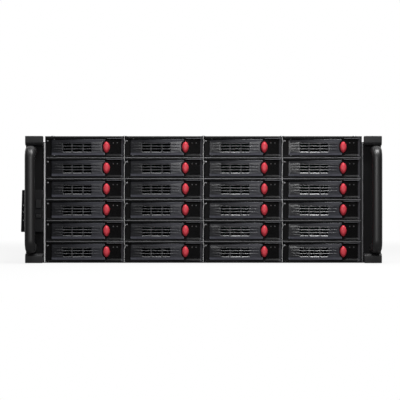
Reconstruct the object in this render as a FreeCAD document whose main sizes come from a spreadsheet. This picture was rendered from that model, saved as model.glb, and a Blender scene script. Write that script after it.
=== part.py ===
import FreeCAD, Part
import os
import re
import Sketcher

# Rackmount server case, four rack units, with 24 hot-swap drive trays in its front
# Lengths are in mm: X to the right, Y to the back, Z up
# The rail plane (rear faces of the rack ears) is y = 0 and the underside is z = 0
# Tray pieces are drawn about their own bay: middle of the bay, rail plane, top of the shelf below

SIZES = {
    # Whole case
    "panel_width": 482.6, "case_width": 430, "case_height": 172, "case_depth": 648,
    "gauge": 1.2, "front_lip": 4, "rows": 6, "columns": 4,
    # Drive cage
    "shelf_gauge": 0.8, "shelf_back": 176, "cage_back": 190,
    # Tray bezel, open at its left
    "bezel_half": 52.2, "bezel_low": 0.5, "bezel_high": 27.1, "bezel_proud": 5, "bezel_back": 9,
    "pocket_floor": 2, "bezel_lip": 2, "right_lip": 3.2,
    "window_left": 40, "window_right": 22, "window_low": 5.5, "window_high": 22,
    # Lever that makes the tray's front
    "lever_left": 45.7, "lever_right": 27.1, "lever_low": 2.9, "lever_high": 24.7,
    "lever_proud": 6.5, "lever_inner": 0.5, "lever_bevel": 1.2, "brow_drop": 2.4, "brow_run": 1.2,
    "hinge_left": 42.2, "hinge_proud": 3, "pin_radius": 1.2, "pin_gap": 0.3,
    "dish_left": 30.4, "dish_right": 9.2, "dish_low": 6.2, "dish_high": 20.3, "dish_depth": 3,
    "grille_left": 29.8, "grille_right": 8.6, "grille_low": 6.8, "grille_high": 19.7,
    "louvre_low": 8.2, "louvre_high": 10.6, "louvre_pitch": 3.95, "louvres": 3, "louvre_inset": 0.4,
    # Release button
    "button_across": 29, "button_up": 13.9, "button_radius": 4.6, "button_straight": 2.9,
    "button_proud": 8, "button_skirt": 1, "button_gap": 0.8,
    "shank_half": 2, "shank_rise": 4.5, "shank_back": 6.5, "shank_gap": 0.3,
    # Sled behind the bezel
    "rail_gauge": 1.2, "rail_low": 0.3, "rail_high": 20.3, "rail_back": 180, "rail_lead": 8,
    "strip_front": 28, "strip_rear": 140, "strip_run": 16, "strip_gauge": 0.8,
    # Backplanes
    "board_half": 211, "board_gauge": 1.6, "board_low": 1.2, "board_high": 24.7,
    "socket_half": 21, "socket_run": 8, "socket_low": 2.5, "socket_high": 8.5,
    "header_left": -60, "header_right": 150, "header_half": 13, "header_run": 12,
    "header_low": 8, "header_high": 17,
    # Covers and rear panel
    "cover_back": 215, "seam": 0.4, "flange": 12, "lid_drop": 8,
    "supply_left": 118, "supply_right": 204, "supply_low": 12, "supply_high": 162,
    "ports_left": -58, "ports_right": 100.75, "ports_low": 12, "ports_high": 56.45,
    "card_first": -196, "card_pitch": 20.32, "cards": 7, "card_half": 6.6, "card_low": 12, "card_high": 112,
    "card_seat": 4,
    "vent_half": 33, "vent_low": 78, "vent_rise": 6, "vent_pitch": 12, "vents": 6,
    "vent_left": -18, "vent_right": 66, "tab_half": 9.2, "tab_high": 118, "tab_gauge": 0.9, "tab_run": 12,
    # Fans
    "wall_front": 232, "fan_pitch": 135, "fan_up": 86, "fan_half": 60, "fan_run": 25, "fan_bore": 57.5,
    "port_half": 56, "port_clip": 20, "arm_half": 2.5, "arm_run": 3,
    "hub_radius": 20, "blade_tip": 55, "blade_gauge": 2.8, "blades": 7, "rotor_gap": 0.5, "rotor_inset": 2,
    "blade_half": 10, "blade_inset": 2, "blade_root": 4,
    "nose_radius": 4, "nose_proud": 1,
    # Board standoffs
    "post_rise": 6.5, "post_side": 3, "post_across": 94, "post_second": 157.48, "post_third": 281.94,
    "post_back": 634, "post_middle": 154.94, "post_front": 227.33,
    # Rack ears
    "ear_gauge": 2.5, "ear_flange": 38, "ear_flange_low": 12, "block_width": 23.6, "block_rise": 13,
    "block_proud": 14.5, "block_round": 4, "notch_width": 2.7, "notch_drop": 8,
    "rack_spacing": 465.1, "rack_rise": 101.6, "rack_radius": 3.4, "rack_slot": 10.3,
    # Grab handles
    "bar_radius": 6.8, "bar_proud": 38.5, "bar_inset": 20.6,
    # Control module
    "module_left": 246.9, "module_right": 217.6, "module_low": 42, "module_high": 99, "module_slant": 1.5,
    "module_proud": 14, "key_across": 223, "key_half": 4, "power_low": 74, "power_high": 86,
    "reset_low": 61, "reset_high": 66, "key_gap": 0.3, "key_well": 8, "key_proud": 1, "key_back": 8.5,
    "lamp_across": 243.4, "lamp_half": 1.2, "lamp_proud": 0.4,
    "lamp_high": 77.5, "lamp_middle": 69, "lamp_low": 58,
}

# Formulas used by several pieces
COLUMN_PITCH = "((case_width - gauge) / columns)"
ROW_PITCH = "((case_height - 2 * gauge + shelf_gauge) / rows)"
INSIDE = "(case_width / 2 - gauge)"
ROOF = "(case_height - gauge)"
BAY_HALF = f"({COLUMN_PITCH} / 2 - gauge / 2)"
FAN_FRONT = "(wall_front + gauge)"

doc = FreeCAD.newDocument("rack_case")
sheet = doc.addObject("Spreadsheet::Sheet", "sizes")
for line, (alias, amount) in enumerate(SIZES.items(), start=1):
    sheet.set(f"A{line}", alias)
    sheet.set(f"B{line}", str(amount))
    sheet.setAlias(f"B{line}", alias)
doc.recompute()


def formula(text):
    """The text with each sheet alias spelled as an expression."""
    return re.sub(r"[a-z_]{3,}", lambda word: f"sizes.{word[0]}" if word[0] in SIZES else word[0], str(text))


def number(text):
    """The present value of a formula."""
    return float(sheet.evalExpression(formula(text)))


def bind(item, **formulas):
    """Bind properties of an object to formulas; a double underscore stands for a dot."""
    for name, text in formulas.items():
        item.setExpression(name.replace("__", "."), formula(text))
    return item


def box(name, x_span, y_span, z_span):
    """A box between two formulas along each axis."""
    item = doc.addObject("Part::Box", name)
    for side, axis, (low, high) in zip(("Length", "Width", "Height"), "xyz", (x_span, y_span, z_span)):
        bind(item, **{side: f"({high}) - ({low})", f"Placement__Base__{axis}": low})
    return item


def rod(name, radius, low, high, x, y):
    """An upright cylinder between two heights."""
    item = doc.addObject("Part::Cylinder", name)
    bind(item, Radius=radius, Height=f"({high}) - ({low})")
    return bind(item, Placement__Base__x=x, Placement__Base__y=y, Placement__Base__z=low)


def group(name, pieces, x="0", y="0", z="0"):
    """Separate pieces set together at one place; its label names the file."""
    item = doc.addObject("Part::Compound", name)
    item.Links = pieces
    return bind(item, Placement__Base__x=x, Placement__Base__y=y, Placement__Base__z=z)


def new_body(name):
    """An empty body."""
    return doc.addObject("PartDesign::Body", name)


def sketch_on(body, role, offset="0"):
    """A sketch on one of the body's own planes, moved along the plane's normal."""
    sketch = body.newObject("Sketcher::SketchObject", f"{body.Name}_sketch")
    support = next(plane for plane in body.Origin.OriginFeatures if plane.Role == role)
    sketch.AttachmentSupport = (support, [""])
    sketch.MapMode = "FlatFace"
    return bind(sketch, AttachmentOffset__Base__z=offset)


def fix(sketch, kind, *where_and_text):
    """A dimension bound to a formula."""
    *where, text = where_and_text
    index = sketch.addConstraint(Sketcher.Constraint(kind, *where, number(text)))
    sketch.setExpression(f"Constraints[{index}]", formula(text))


def outline(sketch, *corners):
    """A closed outline of straight sides; each corner is a pair of formulas."""
    first = sketch.GeometryCount
    count = len(corners)
    points = [FreeCAD.Vector(number(across), number(up), 0) for across, up in corners]
    for index, point in enumerate(points):
        sketch.addGeometry(Part.LineSegment(point, points[(index + 1) % count]))
    for index, (across, up) in enumerate(corners):
        following = first + (index + 1) % count
        sketch.addConstraint(Sketcher.Constraint("Coincident", first + index, 2, following, 1))
        fix(sketch, "DistanceX", first + index, 1, across)
        fix(sketch, "DistanceY", first + index, 1, up)
    return sketch


def oblong(sketch, left, low, right, high):
    """A rectangle."""
    return outline(sketch, (left, low), (right, low), (right, high), (left, high))


def circle(sketch, across, up, radius):
    """A circle."""
    centre = FreeCAD.Vector(number(across), number(up), 0)
    index = sketch.addGeometry(Part.Circle(centre, FreeCAD.Vector(0, 0, 1), number(radius)))
    fix(sketch, "DistanceX", index, 3, across)
    fix(sketch, "DistanceY", index, 3, up)
    fix(sketch, "Radius", index, radius)
    return sketch


def pill(sketch, start, end, radius):
    """A round-ended slot between two end centres; the first end is the left or upper one."""
    first = sketch.GeometryCount
    ends = [FreeCAD.Vector(number(across), number(up), 0) for across, up in (start, end)]
    along = (ends[1] - ends[0]).normalize()
    aside = FreeCAD.Vector(-along.y, along.x, 0) * number(radius)
    for centre, back in zip(ends, (-along, along)):
        reach = back * number(radius)
        side = aside if back == -along else -aside
        sketch.addGeometry(Part.Arc(centre + side, centre + reach, centre - side))
    sketch.addGeometry(Part.LineSegment(ends[0] - aside, ends[1] - aside))
    sketch.addGeometry(Part.LineSegment(ends[1] + aside, ends[0] + aside))
    for arc, arc_end, side, side_end in ((0, 2, 2, 1), (2, 2, 1, 1), (1, 2, 3, 1), (3, 2, 0, 1)):
        sketch.addConstraint(Sketcher.Constraint("Tangent", first + arc, arc_end, first + side, side_end))
    for index, (across, up) in enumerate((start, end)):
        fix(sketch, "DistanceX", first + index, 3, across)
        fix(sketch, "DistanceY", first + index, 3, up)
        fix(sketch, "Radius", first + index, radius)
    return sketch


def feature(body, kind, sketch, length, flipped=False):
    """A pad or a pocket of a sketch."""
    item = body.newObject(f"PartDesign::{kind}", f"{body.Name}_{kind.lower()}")
    item.Profile = sketch
    item.Reversed = flipped
    return bind(item, Length=length)


def front_sketch(body, front):
    """A sketch seen from the front, in the plane at a given y."""
    return sketch_on(body, "XZ_Plane", f"-({front})")


def pad_back(body, sketch, length):
    """Material from a front sketch towards the back."""
    return feature(body, "Pad", sketch, length, flipped=True)


def pocket_back(body, sketch, length):
    """A cut from a front sketch towards the back."""
    return feature(body, "Pocket", sketch, length)


def pattern(body, original, axis, span, count):
    """Repeat a feature along an axis of its own sketch."""
    item = body.newObject("PartDesign::LinearPattern", f"{body.Name}_row")
    item.Originals = [original]
    item.Direction = (original.Profile[0], [axis])
    bind(item, Length=span, Occurrences=count)
    body.Tip = item
    return item


def base_pan():
    """Floor and side walls folded from one sheet, with flanges for the lid."""
    body = new_body("base_pan")
    half = "case_width / 2"
    section = outline(front_sketch(body, "-front_lip"),
                      (f"-{half}", "0"), (half, "0"), (half, ROOF), (INSIDE, ROOF), (INSIDE, "gauge"),
                      (f"-{INSIDE}", "gauge"), (f"-{INSIDE}", ROOF), (f"-{half}", ROOF))
    pad_back(body, section, "case_depth + front_lip")
    edges = front_sketch(body, "cover_back")
    oblong(edges, f"{INSIDE} - flange", f"{ROOF} - gauge", INSIDE, ROOF)
    oblong(edges, f"-{INSIDE}", f"{ROOF} - gauge", f"flange - {INSIDE}", ROOF)
    pad_back(body, edges, "case_depth - gauge - cover_back")
    return body


def front_cover():
    """Fixed top plate over the drive cage."""
    body = new_body("front_cover")
    plate = sketch_on(body, "XY_Plane", ROOF)
    oblong(plate, "-case_width / 2", "-front_lip", "case_width / 2", "cover_back")
    feature(body, "Pad", plate, "gauge")
    return body


def rear_lid():
    """Lift-off plate with a flange down over the rear panel."""
    body = new_body("rear_lid")
    back = "case_depth + seam"
    section = outline(sketch_on(body, "YZ_Plane", "-case_width / 2"),
                      ("cover_back + seam", ROOF), (back, ROOF), (back, f"{ROOF} - lid_drop"),
                      (f"{back} + gauge", f"{ROOF} - lid_drop"), (f"{back} + gauge", "case_height"),
                      ("cover_back + seam", "case_height"))
    feature(body, "Pad", section, "case_width")
    return body


def rear_panel():
    """Rear panel with supply, port, card and vent openings."""
    body = new_body("rear_panel")
    front = "case_depth - gauge"
    pad_back(body, oblong(front_sketch(body, front), f"-{INSIDE}", "gauge", INSIDE, ROOF), "gauge")
    holes = oblong(front_sketch(body, front), "supply_left", "supply_low", "supply_right", "supply_high")
    oblong(holes, "ports_left", "ports_low", "ports_right", "ports_high")
    pocket_back(body, holes, "gauge")
    card = front_sketch(body, front)
    oblong(card, "card_first - card_half", "card_low", "card_first + card_half", "card_high")
    pattern(body, pocket_back(body, card, "gauge"), "H_Axis", "card_pitch * (cards - 1)", "cards")
    vent = front_sketch(body, front)
    for middle in ("vent_left", "vent_right"):
        oblong(vent, f"{middle} - vent_half", "vent_low", f"{middle} + vent_half", "vent_low + vent_rise")
    pattern(body, pocket_back(body, vent, "gauge"), "V_Axis", "vent_pitch * (vents - 1)", "vents")
    return body


def slot_covers():
    """Blanking plates inside the card openings, each with a bent screw tab."""
    body = new_body("slot_cover")
    face = "case_depth - gauge"
    section = outline(sketch_on(body, "YZ_Plane", "-tab_half"),
                      (f"{face} - tab_gauge", "card_low - card_seat"), (face, "card_low - card_seat"),
                      (face, "tab_high"),
                      (f"{face} - tab_run", "tab_high"), (f"{face} - tab_run", "tab_high - tab_gauge"),
                      (f"{face} - tab_gauge", "tab_high - tab_gauge"))
    feature(body, "Pad", section, "2 * tab_half")
    count = int(number("cards"))
    covers = [group(f"slot_cover_{index}", [body], x=f"card_first + {index} * card_pitch")
              for index in range(count)]
    return group("slot_covers", covers)


def cage_dividers():
    """Upright plates between the tray columns."""
    body = new_body("divider")
    plate = oblong(sketch_on(body, "YZ_Plane", "-gauge / 2"), "-front_lip", "gauge", "cage_back", ROOF)
    feature(body, "Pad", plate, "gauge")
    plates = [group(f"divider_{index}", [body], x=f"{index - 2} * {COLUMN_PITCH}") for index in (1, 2, 3)]
    return group("cage_dividers", plates)


def bay_place(row, column):
    """Place of a bay as formulas across and up; row 1 is the top one and column 1 the left one."""
    return f"({column} - (columns + 1) / 2) * {COLUMN_PITCH}", f"gauge + (rows - {row}) * {ROW_PITCH}"


def tray_shelves():
    """Shelf plate under each bay above the lowest row; its bare front edge shows between the trays."""
    plate = box("shelf", (f"-{BAY_HALF}", BAY_HALF), ("-front_lip", "shelf_back"), ("-shelf_gauge", "0"))
    bays = []
    for row in range(1, int(number("rows"))):
        for column in range(1, int(number("columns")) + 1):
            across, up = bay_place(row, column)
            bays.append(group(f"shelf_{row}_{column}", [plate], x=across, z=up))
    return group("tray_shelves", bays)


def backplanes():
    """One board behind each tray row, with a drive socket per bay in front and headers behind."""
    face = "cage_back + board_gauge"
    pieces = [box("board", ("-board_half", "board_half"), ("cage_back", face), ("board_low", "board_high"))]
    for column in range(1, int(number("columns")) + 1):
        middle = bay_place(1, column)[0]
        pieces.append(box(f"socket_{column}", (f"{middle} - socket_half", f"{middle} + socket_half"),
                          ("cage_back - socket_run", "cage_back"), ("socket_low", "socket_high")))
    for middle in ("header_left", "header_right"):
        pieces.append(box(f"{middle}_block", (f"{middle} - header_half", f"{middle} + header_half"),
                          (face, f"{face} + header_run"), ("header_low", "header_high")))
    rows = range(1, int(number("rows")) + 1)
    return group("backplanes", [group(f"backplane_{row}", pieces, z=bay_place(row, 1)[1]) for row in rows])


def fan_wall():
    """Plate across the case with a clipped square port for each fan and a foot on the floor."""
    body = new_body("fan_wall")
    half = f"{INSIDE} - seam"
    plate = front_sketch(body, "wall_front")
    oblong(plate, f"-({half})", "gauge", half, f"{ROOF} - gauge - seam")
    pad_back(body, plate, "gauge")
    foot = front_sketch(body, FAN_FRONT)
    oblong(foot, f"-({half})", "gauge", half, "2 * gauge")
    pad_back(body, foot, "flange")
    port = front_sketch(body, "wall_front")
    clip = "(port_half - port_clip)"
    outline(port, *[(f"{side} - fan_pitch", f"{up} + fan_up") for side, up in (
        (f"-{clip}", "-port_half"), (clip, "-port_half"), ("port_half", f"-{clip}"), ("port_half", clip),
        (clip, "port_half"), (f"-{clip}", "port_half"), ("-port_half", clip), ("-port_half", f"-{clip}"))])
    pattern(body, pocket_back(body, port, "gauge"), "H_Axis", "2 * fan_pitch", "3")
    return body


def fan_frames():
    """Square fan frames with a round bore, each with a four-armed spider for the motor behind it."""
    body = new_body("fan_frame")
    square = oblong(front_sketch(body, FAN_FRONT), "-fan_half", "-fan_half", "fan_half", "fan_half")
    pad_back(body, square, "fan_run")
    pocket_back(body, circle(front_sketch(body, FAN_FRONT), "0", "0", "fan_bore"), "fan_run")
    spider = new_body("fan_spider")
    reach = "fan_half"
    arms = front_sketch(spider, f"{FAN_FRONT} + fan_run")
    outline(arms, ("-arm_half", f"-({reach})"), ("arm_half", f"-({reach})"), ("arm_half", "-arm_half"),
            (reach, "-arm_half"), (reach, "arm_half"), ("arm_half", "arm_half"), ("arm_half", reach),
            ("-arm_half", reach), ("-arm_half", "arm_half"), (f"-({reach})", "arm_half"),
            (f"-({reach})", "-arm_half"), ("-arm_half", "-arm_half"))
    pad_back(spider, arms, "arm_run")
    frames = [group(f"fan_frame_{index}", [body, spider], x=f"{index - 2} * fan_pitch", z="fan_up")
              for index in (1, 2, 3)]
    return group("fan_frames", frames)


def fan_rotors():
    """Hubs with slanted blades, one in each frame; each blade stands on a flat of the hub."""
    body = new_body("rotor")
    front = f"{FAN_FRONT} + rotor_inset"
    back = f"{FAN_FRONT} + fan_run - rotor_gap"
    hub = front_sketch(body, front)
    sides = 2 * int(number("blades"))
    turns = [f"{360 / sides * (step + 0.5)} deg" for step in range(sides)]
    outline(hub, *[(f"hub_radius * sin({turn})", f"hub_radius * cos({turn})") for turn in turns])
    pad_back(body, hub, f"({back}) - ({front})")
    nose = circle(front_sketch(body, f"{front} - nose_proud"), "0", "0", "nose_radius")
    pad_back(body, nose, "nose_proud")
    blade = sketch_on(body, "XY_Plane", "hub_radius - blade_root")
    lead, trail = f"{front} + blade_inset", f"({back}) - blade_inset"
    outline(blade, ("-blade_half", lead), ("blade_gauge - blade_half", lead),
            ("blade_half", trail), ("blade_half - blade_gauge", trail))
    fin = feature(body, "Pad", blade, "blade_tip - hub_radius + blade_root")
    ring = body.newObject("PartDesign::PolarPattern", "rotor_ring")
    ring.Originals = [fin]
    ring.Axis = (hub, ["N_Axis"])
    ring.Angle = 360
    bind(ring, Occurrences="blades")
    body.Tip = ring
    return [group(f"fan_rotor_{index}", [body], x=f"{index - 2} * fan_pitch", z="fan_up")
            for index in (1, 2, 3)]


def board_standoffs():
    """Hexagon posts for a system board."""
    body = new_body("standoff")
    tall = "post_side * sqrt(3) / 2"
    hexagon = outline(sketch_on(body, "XY_Plane", "gauge"),
                      ("post_side", "0"), ("post_side / 2", tall), ("-post_side / 2", tall),
                      ("-post_side", "0"), ("-post_side / 2", f"-{tall}"), ("post_side / 2", f"-{tall}"))
    feature(body, "Pad", hexagon, "post_rise")
    posts = []
    for across in ("post_across", "post_across - post_second", "post_across - post_third"):
        for back in ("post_back", "post_back - post_middle", "post_back - post_front"):
            posts.append(group(f"standoff_{len(posts)}", [body], x=across, y=back))
    return group("board_standoffs", posts)


def rack_ear(name, side):
    """Ear plate with a raised block at each end, rack slots and a flange along the case; side is 1 or -1."""
    body = new_body(name)
    outer, inner = f"{side} * panel_width / 2", f"{side} * case_width / 2"
    top = "case_height"
    step = f"{inner} + {side} * notch_width"
    plate = outline(front_sketch(body, "-ear_gauge"),
                    (inner, "0"), (outer, "0"), (outer, top), (step, top), (step, f"{top} - notch_drop"),
                    (inner, f"{top} - notch_drop"))
    pad_back(body, plate, "ear_gauge")
    wing = front_sketch(body, "0")
    oblong(wing, inner, "ear_flange_low", f"{inner} + {side} * ear_gauge", f"{top} - ear_flange_low")
    pad_back(body, wing, "ear_flange")
    edge = f"{outer} - {side} * block_width"
    for low, high, turn in (("0", "block_rise", 1), (f"{top} - block_rise", top, -1)):
        bend = f"block_round * {turn}"
        tip = high if turn == 1 else low
        root = low if turn == 1 else high
        block = outline(sketch_on(body, "YZ_Plane", edge if side == 1 else outer),
                        ("-ear_gauge", root), ("-block_proud", root), ("-block_proud", f"{tip} - {bend}"),
                        ("block_round - block_proud", tip), ("-ear_gauge", tip))
        feature(body, "Pad", block, "block_width")
    slots = front_sketch(body, "-ear_gauge")
    reach = "(rack_slot / 2 - rack_radius)"
    middle = f"{side} * rack_spacing / 2"
    for up in ("case_height / 2 - rack_rise / 2", "case_height / 2 + rack_rise / 2"):
        pill(slots, (f"{middle} - {reach}", up), (f"{middle} + {reach}", up), "rack_radius")
    pocket_back(body, slots, "ear_gauge")
    return body


def grab_handles():
    """Round bars turned back into the ears, with ball corners."""
    low, high = "bar_inset", "(case_height - bar_inset)"
    pieces = [rod("grip", "bar_radius", low, high, "0", "-bar_proud")]
    for name, up in (("lower", low), ("upper", high)):
        corner = doc.addObject("Part::Sphere", f"{name}_corner")
        bind(corner, Radius="bar_radius", Placement__Base__y="-bar_proud", Placement__Base__z=up)
        pieces.append(corner)
        leg = rod(f"{name}_leg", "bar_radius", "0", "bar_proud - ear_gauge", "0", "-bar_proud")
        leg.Placement.Rotation = FreeCAD.Rotation(FreeCAD.Vector(1, 0, 0), -90)
        pieces.append(bind(leg, Placement__Base__z=up))
    handle = doc.addObject("Part::MultiFuse", "handle")
    handle.Shapes = pieces
    handle.Refine = True
    pair = [group(f"{word}_handle", [handle], x=f"{side} * rack_spacing / 2")
            for word, side in (("left", -1), ("right", 1))]
    return group("grab_handles", pair)


def control_module():
    """Housing on the left ear with a well for each key."""
    body = new_body("control_module")
    shell = outline(front_sketch(body, "-module_proud"),
                    ("-module_left", "module_low"), ("-module_right", "module_low"),
                    ("-module_right", "module_high"), ("module_slant - module_left", "module_high"))
    pad_back(body, shell, "module_proud - ear_gauge")
    wells = front_sketch(body, "-module_proud")
    for key in ("power", "reset"):
        oblong(wells, "-key_across - key_half - key_gap", f"{key}_low - key_gap",
               "key_half + key_gap - key_across", f"{key}_high + key_gap")
    pocket_back(body, wells, "key_well")
    return body


def front_keys():
    """Power and reset keys in their wells."""
    return [box(f"{key}_key", ("-key_across - key_half", "key_half - key_across"),
                ("-module_proud - key_proud", "-key_back"), (f"{key}_low", f"{key}_high"))
            for key in ("power", "reset")]


def status_lamps():
    """Small lamp windows on the outer strip of the module."""
    lamps = [box(f"{up}_window", ("-lamp_across - lamp_half", "lamp_half - lamp_across"),
                 ("-module_proud - lamp_proud", "-module_proud"), (f"{up} - lamp_half", f"{up} + lamp_half"))
             for up in ("lamp_high", "lamp_middle", "lamp_low")]
    return group("status_lamps", lamps)


def button_flats(sketch, radius):
    """The tall button's outline with four flats round each end, because it repeats so often."""
    corners = []
    for end, first in ((1, 0), (-1, 180)):
        for step in range(5):
            angle = f"{first + 45 * step} deg"
            corners.append((f"button_across + {radius} * cos({angle})",
                            f"button_up + {end} * button_straight + {radius} * sin({angle})"))
    return outline(sketch, *corners)


def tray_bezel(name, working):
    """Bezel frame open at its left; a working one has a hole for the button's shank."""
    body = new_body(name)
    front, depth = "-bezel_proud", "bezel_proud + bezel_back"
    block = oblong(front_sketch(body, front), "-bezel_half", "bezel_low", "bezel_half", "bezel_high")
    pad_back(body, block, depth)
    pocket = front_sketch(body, front)
    oblong(pocket, "-bezel_half", "bezel_low + bezel_lip", "bezel_half - right_lip", "bezel_high - bezel_lip")
    pocket_back(body, pocket, "bezel_proud + pocket_floor")
    window = front_sketch(body, "pocket_floor")
    oblong(window, "-window_left", "window_low", "window_right", "window_high")
    if working:
        half, rise = "shank_half + shank_gap", "shank_rise + shank_gap"
        oblong(window, f"button_across - ({half})", f"button_up - ({rise})",
               f"button_across + ({half})", f"button_up + ({rise})")
    pocket_back(body, window, "bezel_back - pocket_floor")
    return body


def tray_lever(name, working):
    """Lever front: sloped brow, grille pit with louvre slots and a notch at the button.

    A working one hooks over a hinge pin; the others sit on the bezel's pocket floor.
    """
    body = new_body(name)
    inner = "lever_inner" if working else "pocket_floor"
    room = "(pin_radius + pin_gap)"
    hook = [(f"{room} - hinge_left", inner), (f"{room} - hinge_left", f"-hinge_proud - {room}"),
            (f"-hinge_left - {room}", f"-hinge_proud - {room}"), (f"-hinge_left - {room}", inner)]
    section = outline(sketch_on(body, "XY_Plane", "lever_low"),
                      ("lever_bevel - lever_left", "-lever_proud"), ("lever_right", "-lever_proud"),
                      ("lever_right", inner), *(hook if working else []),
                      ("lever_bevel - lever_left", inner),
                      ("-lever_left", f"{inner} - lever_bevel"), ("-lever_left", "lever_bevel - lever_proud"))
    feature(body, "Pad", section, "lever_high - lever_low")
    brow = outline(sketch_on(body, "YZ_Plane", "-lever_left"),
                   ("-lever_proud", "lever_high - brow_drop"), ("brow_run - lever_proud", "lever_high"),
                   ("-lever_proud", "lever_high"))
    feature(body, "Pocket", brow, "lever_left + lever_right", flipped=True)
    dish = body.newObject("PartDesign::SubtractiveWedge", f"{name}_dish")
    bind(dish, Ymin="-lever_proud", Xmin="-dish_left", Xmax="dish_right", Zmin="dish_low", Zmax="dish_high")
    bind(dish, Ymax="dish_depth - lever_proud", X2min="-grille_left", X2max="grille_right",
         Z2min="grille_low", Z2max="grille_high")
    notch = button_flats(front_sketch(body, "-lever_proud"), "(button_radius + button_gap)")
    pocket_back(body, notch, f"lever_proud + {inner}")
    louvre = front_sketch(body, "dish_depth - lever_proud")
    oblong(louvre, "louvre_inset - grille_left", "louvre_low", "grille_right - louvre_inset", "louvre_high")
    slot = pocket_back(body, louvre, f"lever_proud + {inner} - dish_depth")
    pattern(body, slot, "V_Axis", "louvre_pitch * (louvres - 1)", "louvres")
    return body


def tray_button(name, working):
    """Tall release button; a working one has round ends and a shank through the bezel."""
    body = new_body(name)
    cap = front_sketch(body, "-button_proud")
    if not working:
        pad_back(body, button_flats(cap, "button_radius"), "button_proud + pocket_floor")
        return body
    pill(cap, ("button_across", "button_up + button_straight"),
         ("button_across", "button_up - button_straight"), "button_radius")
    pad_back(body, cap, "button_proud - button_skirt")
    shank = front_sketch(body, "-button_skirt")
    oblong(shank, "button_across - shank_half", "button_up - shank_rise",
           "button_across + shank_half", "button_up + shank_rise")
    pad_back(body, shank, "button_skirt + shank_back")
    return body


def tray_sled():
    """Side rails with a tapered lead and cross strips under the drive."""
    rail = new_body("rail")
    side = outline(sketch_on(rail, "YZ_Plane", "bezel_half - rail_gauge"),
                   ("bezel_back", "rail_low"), ("rail_back", "rail_low"),
                   ("rail_back", "rail_high - rail_lead"), ("rail_back - rail_lead", "rail_high"),
                   ("bezel_back", "rail_high"))
    feature(rail, "Pad", side, "rail_gauge")
    other = group("left_rail", [rail], x="rail_gauge - 2 * bezel_half")
    half = "bezel_half - rail_gauge"
    strips = [box(f"strip_{start}", (f"-({half})", half), (start, f"{start} + strip_run"),
                  ("rail_low", "rail_low + strip_gauge")) for start in ("strip_front", "strip_rear")]
    return [rail, other, *strips]


def drive_trays():
    """All 24 trays; those of the top row have a lever and a button that move on their own."""
    sled = tray_sled()
    plain = [make(f"plain_{word}", False) for word, make in PIECES.items()]
    working = {word: make(f"working_{word}", True) for word, make in PIECES.items()}
    pin = rod("hinge_pin", "pin_radius", "bezel_low + bezel_lip", "bezel_high - bezel_lip",
              "-hinge_left", "-hinge_proud")
    trays = []
    for row in range(1, int(number("rows")) + 1):
        for column in range(1, int(number("columns")) + 1):
            across, up = bay_place(row, column)
            spot = f"r{row}c{column}"
            held = [working["bezel"], pin] if row == 1 else plain
            trays.append(group(f"tray_{spot}", held + sled, x=across, z=up))
            if row == 1:
                trays.append(group(f"lever_{spot}", [working["lever"]], x=across, z=up))
                trays.append(group(f"release_{spot}", [working["button"]], x=across, z=up))
    return trays


PIECES = {"bezel": tray_bezel, "lever": tray_lever, "button": tray_button}

nodes = [base_pan(), front_cover(), rear_lid(), rear_panel(), slot_covers(), cage_dividers(), tray_shelves(),
         backplanes(), fan_wall(), fan_frames(), *fan_rotors(), board_standoffs(), rack_ear("left_ear", -1),
         rack_ear("right_ear", 1), grab_handles(), control_module(), *front_keys(), status_lamps(),
         *drive_trays()]
doc.recompute()

# Every object must have worked out before any file is written
for item in doc.Objects:
    if "Invalid" in item.State or "Error" in item.State:
        raise RuntimeError(f"{item.Name} did not work out: {item.State}")
for node in nodes:
    if node.Shape.isNull() or not node.Shape.isValid():
        raise RuntimeError(f"{node.Name} has no valid shape")

os.makedirs("parts", exist_ok=True)
for node in nodes:
    node.Label = node.Name
    node.Shape.exportStep(f"parts/{node.Label}.step")
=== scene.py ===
import logging
import math
from collections.abc import Iterable, Sequence
from dataclasses import dataclass
from enum import Enum
from itertools import pairwise
from typing import Union

import bmesh
import bpy
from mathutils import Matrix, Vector


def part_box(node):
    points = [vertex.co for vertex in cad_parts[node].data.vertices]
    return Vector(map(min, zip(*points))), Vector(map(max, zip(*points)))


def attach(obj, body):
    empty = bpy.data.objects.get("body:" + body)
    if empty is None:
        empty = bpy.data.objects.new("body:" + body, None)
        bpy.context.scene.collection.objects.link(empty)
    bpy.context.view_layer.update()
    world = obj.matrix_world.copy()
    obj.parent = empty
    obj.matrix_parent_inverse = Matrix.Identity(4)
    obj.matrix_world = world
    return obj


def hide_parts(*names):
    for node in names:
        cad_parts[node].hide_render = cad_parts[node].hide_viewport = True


# Looks of a rackmount server case with 24 hot-swap drive trays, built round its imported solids
# Drawing sizes are in millimetres and become metres in the meshes; the studio and the frame are in metres

MM = 0.001
ROWS = 6
COLUMNS = 4
COLUMN_PITCH = 107.2
ROW_PITCH = 28.4
PRESSED_RISE = 0.7
EDGE_TURNS = (0, 30, 60, 90)
SHARPEST_MITRE = 0.3
LOG = logging.getLogger("rack_case")

Point = tuple[float, float]
Points = tuple[Point, ...]
Places = tuple[float, ...]
Box = tuple[float, float, float, float]
Colour = tuple[float, float, float]
Ring = list[bmesh.types.BMVert]

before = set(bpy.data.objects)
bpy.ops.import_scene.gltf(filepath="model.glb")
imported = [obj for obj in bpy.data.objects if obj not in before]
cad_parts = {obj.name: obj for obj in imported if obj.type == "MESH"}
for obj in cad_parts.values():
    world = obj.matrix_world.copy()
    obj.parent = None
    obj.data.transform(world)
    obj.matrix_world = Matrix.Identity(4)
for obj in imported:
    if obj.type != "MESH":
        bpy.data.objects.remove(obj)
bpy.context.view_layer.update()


# Flat outlines and meshes

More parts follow.
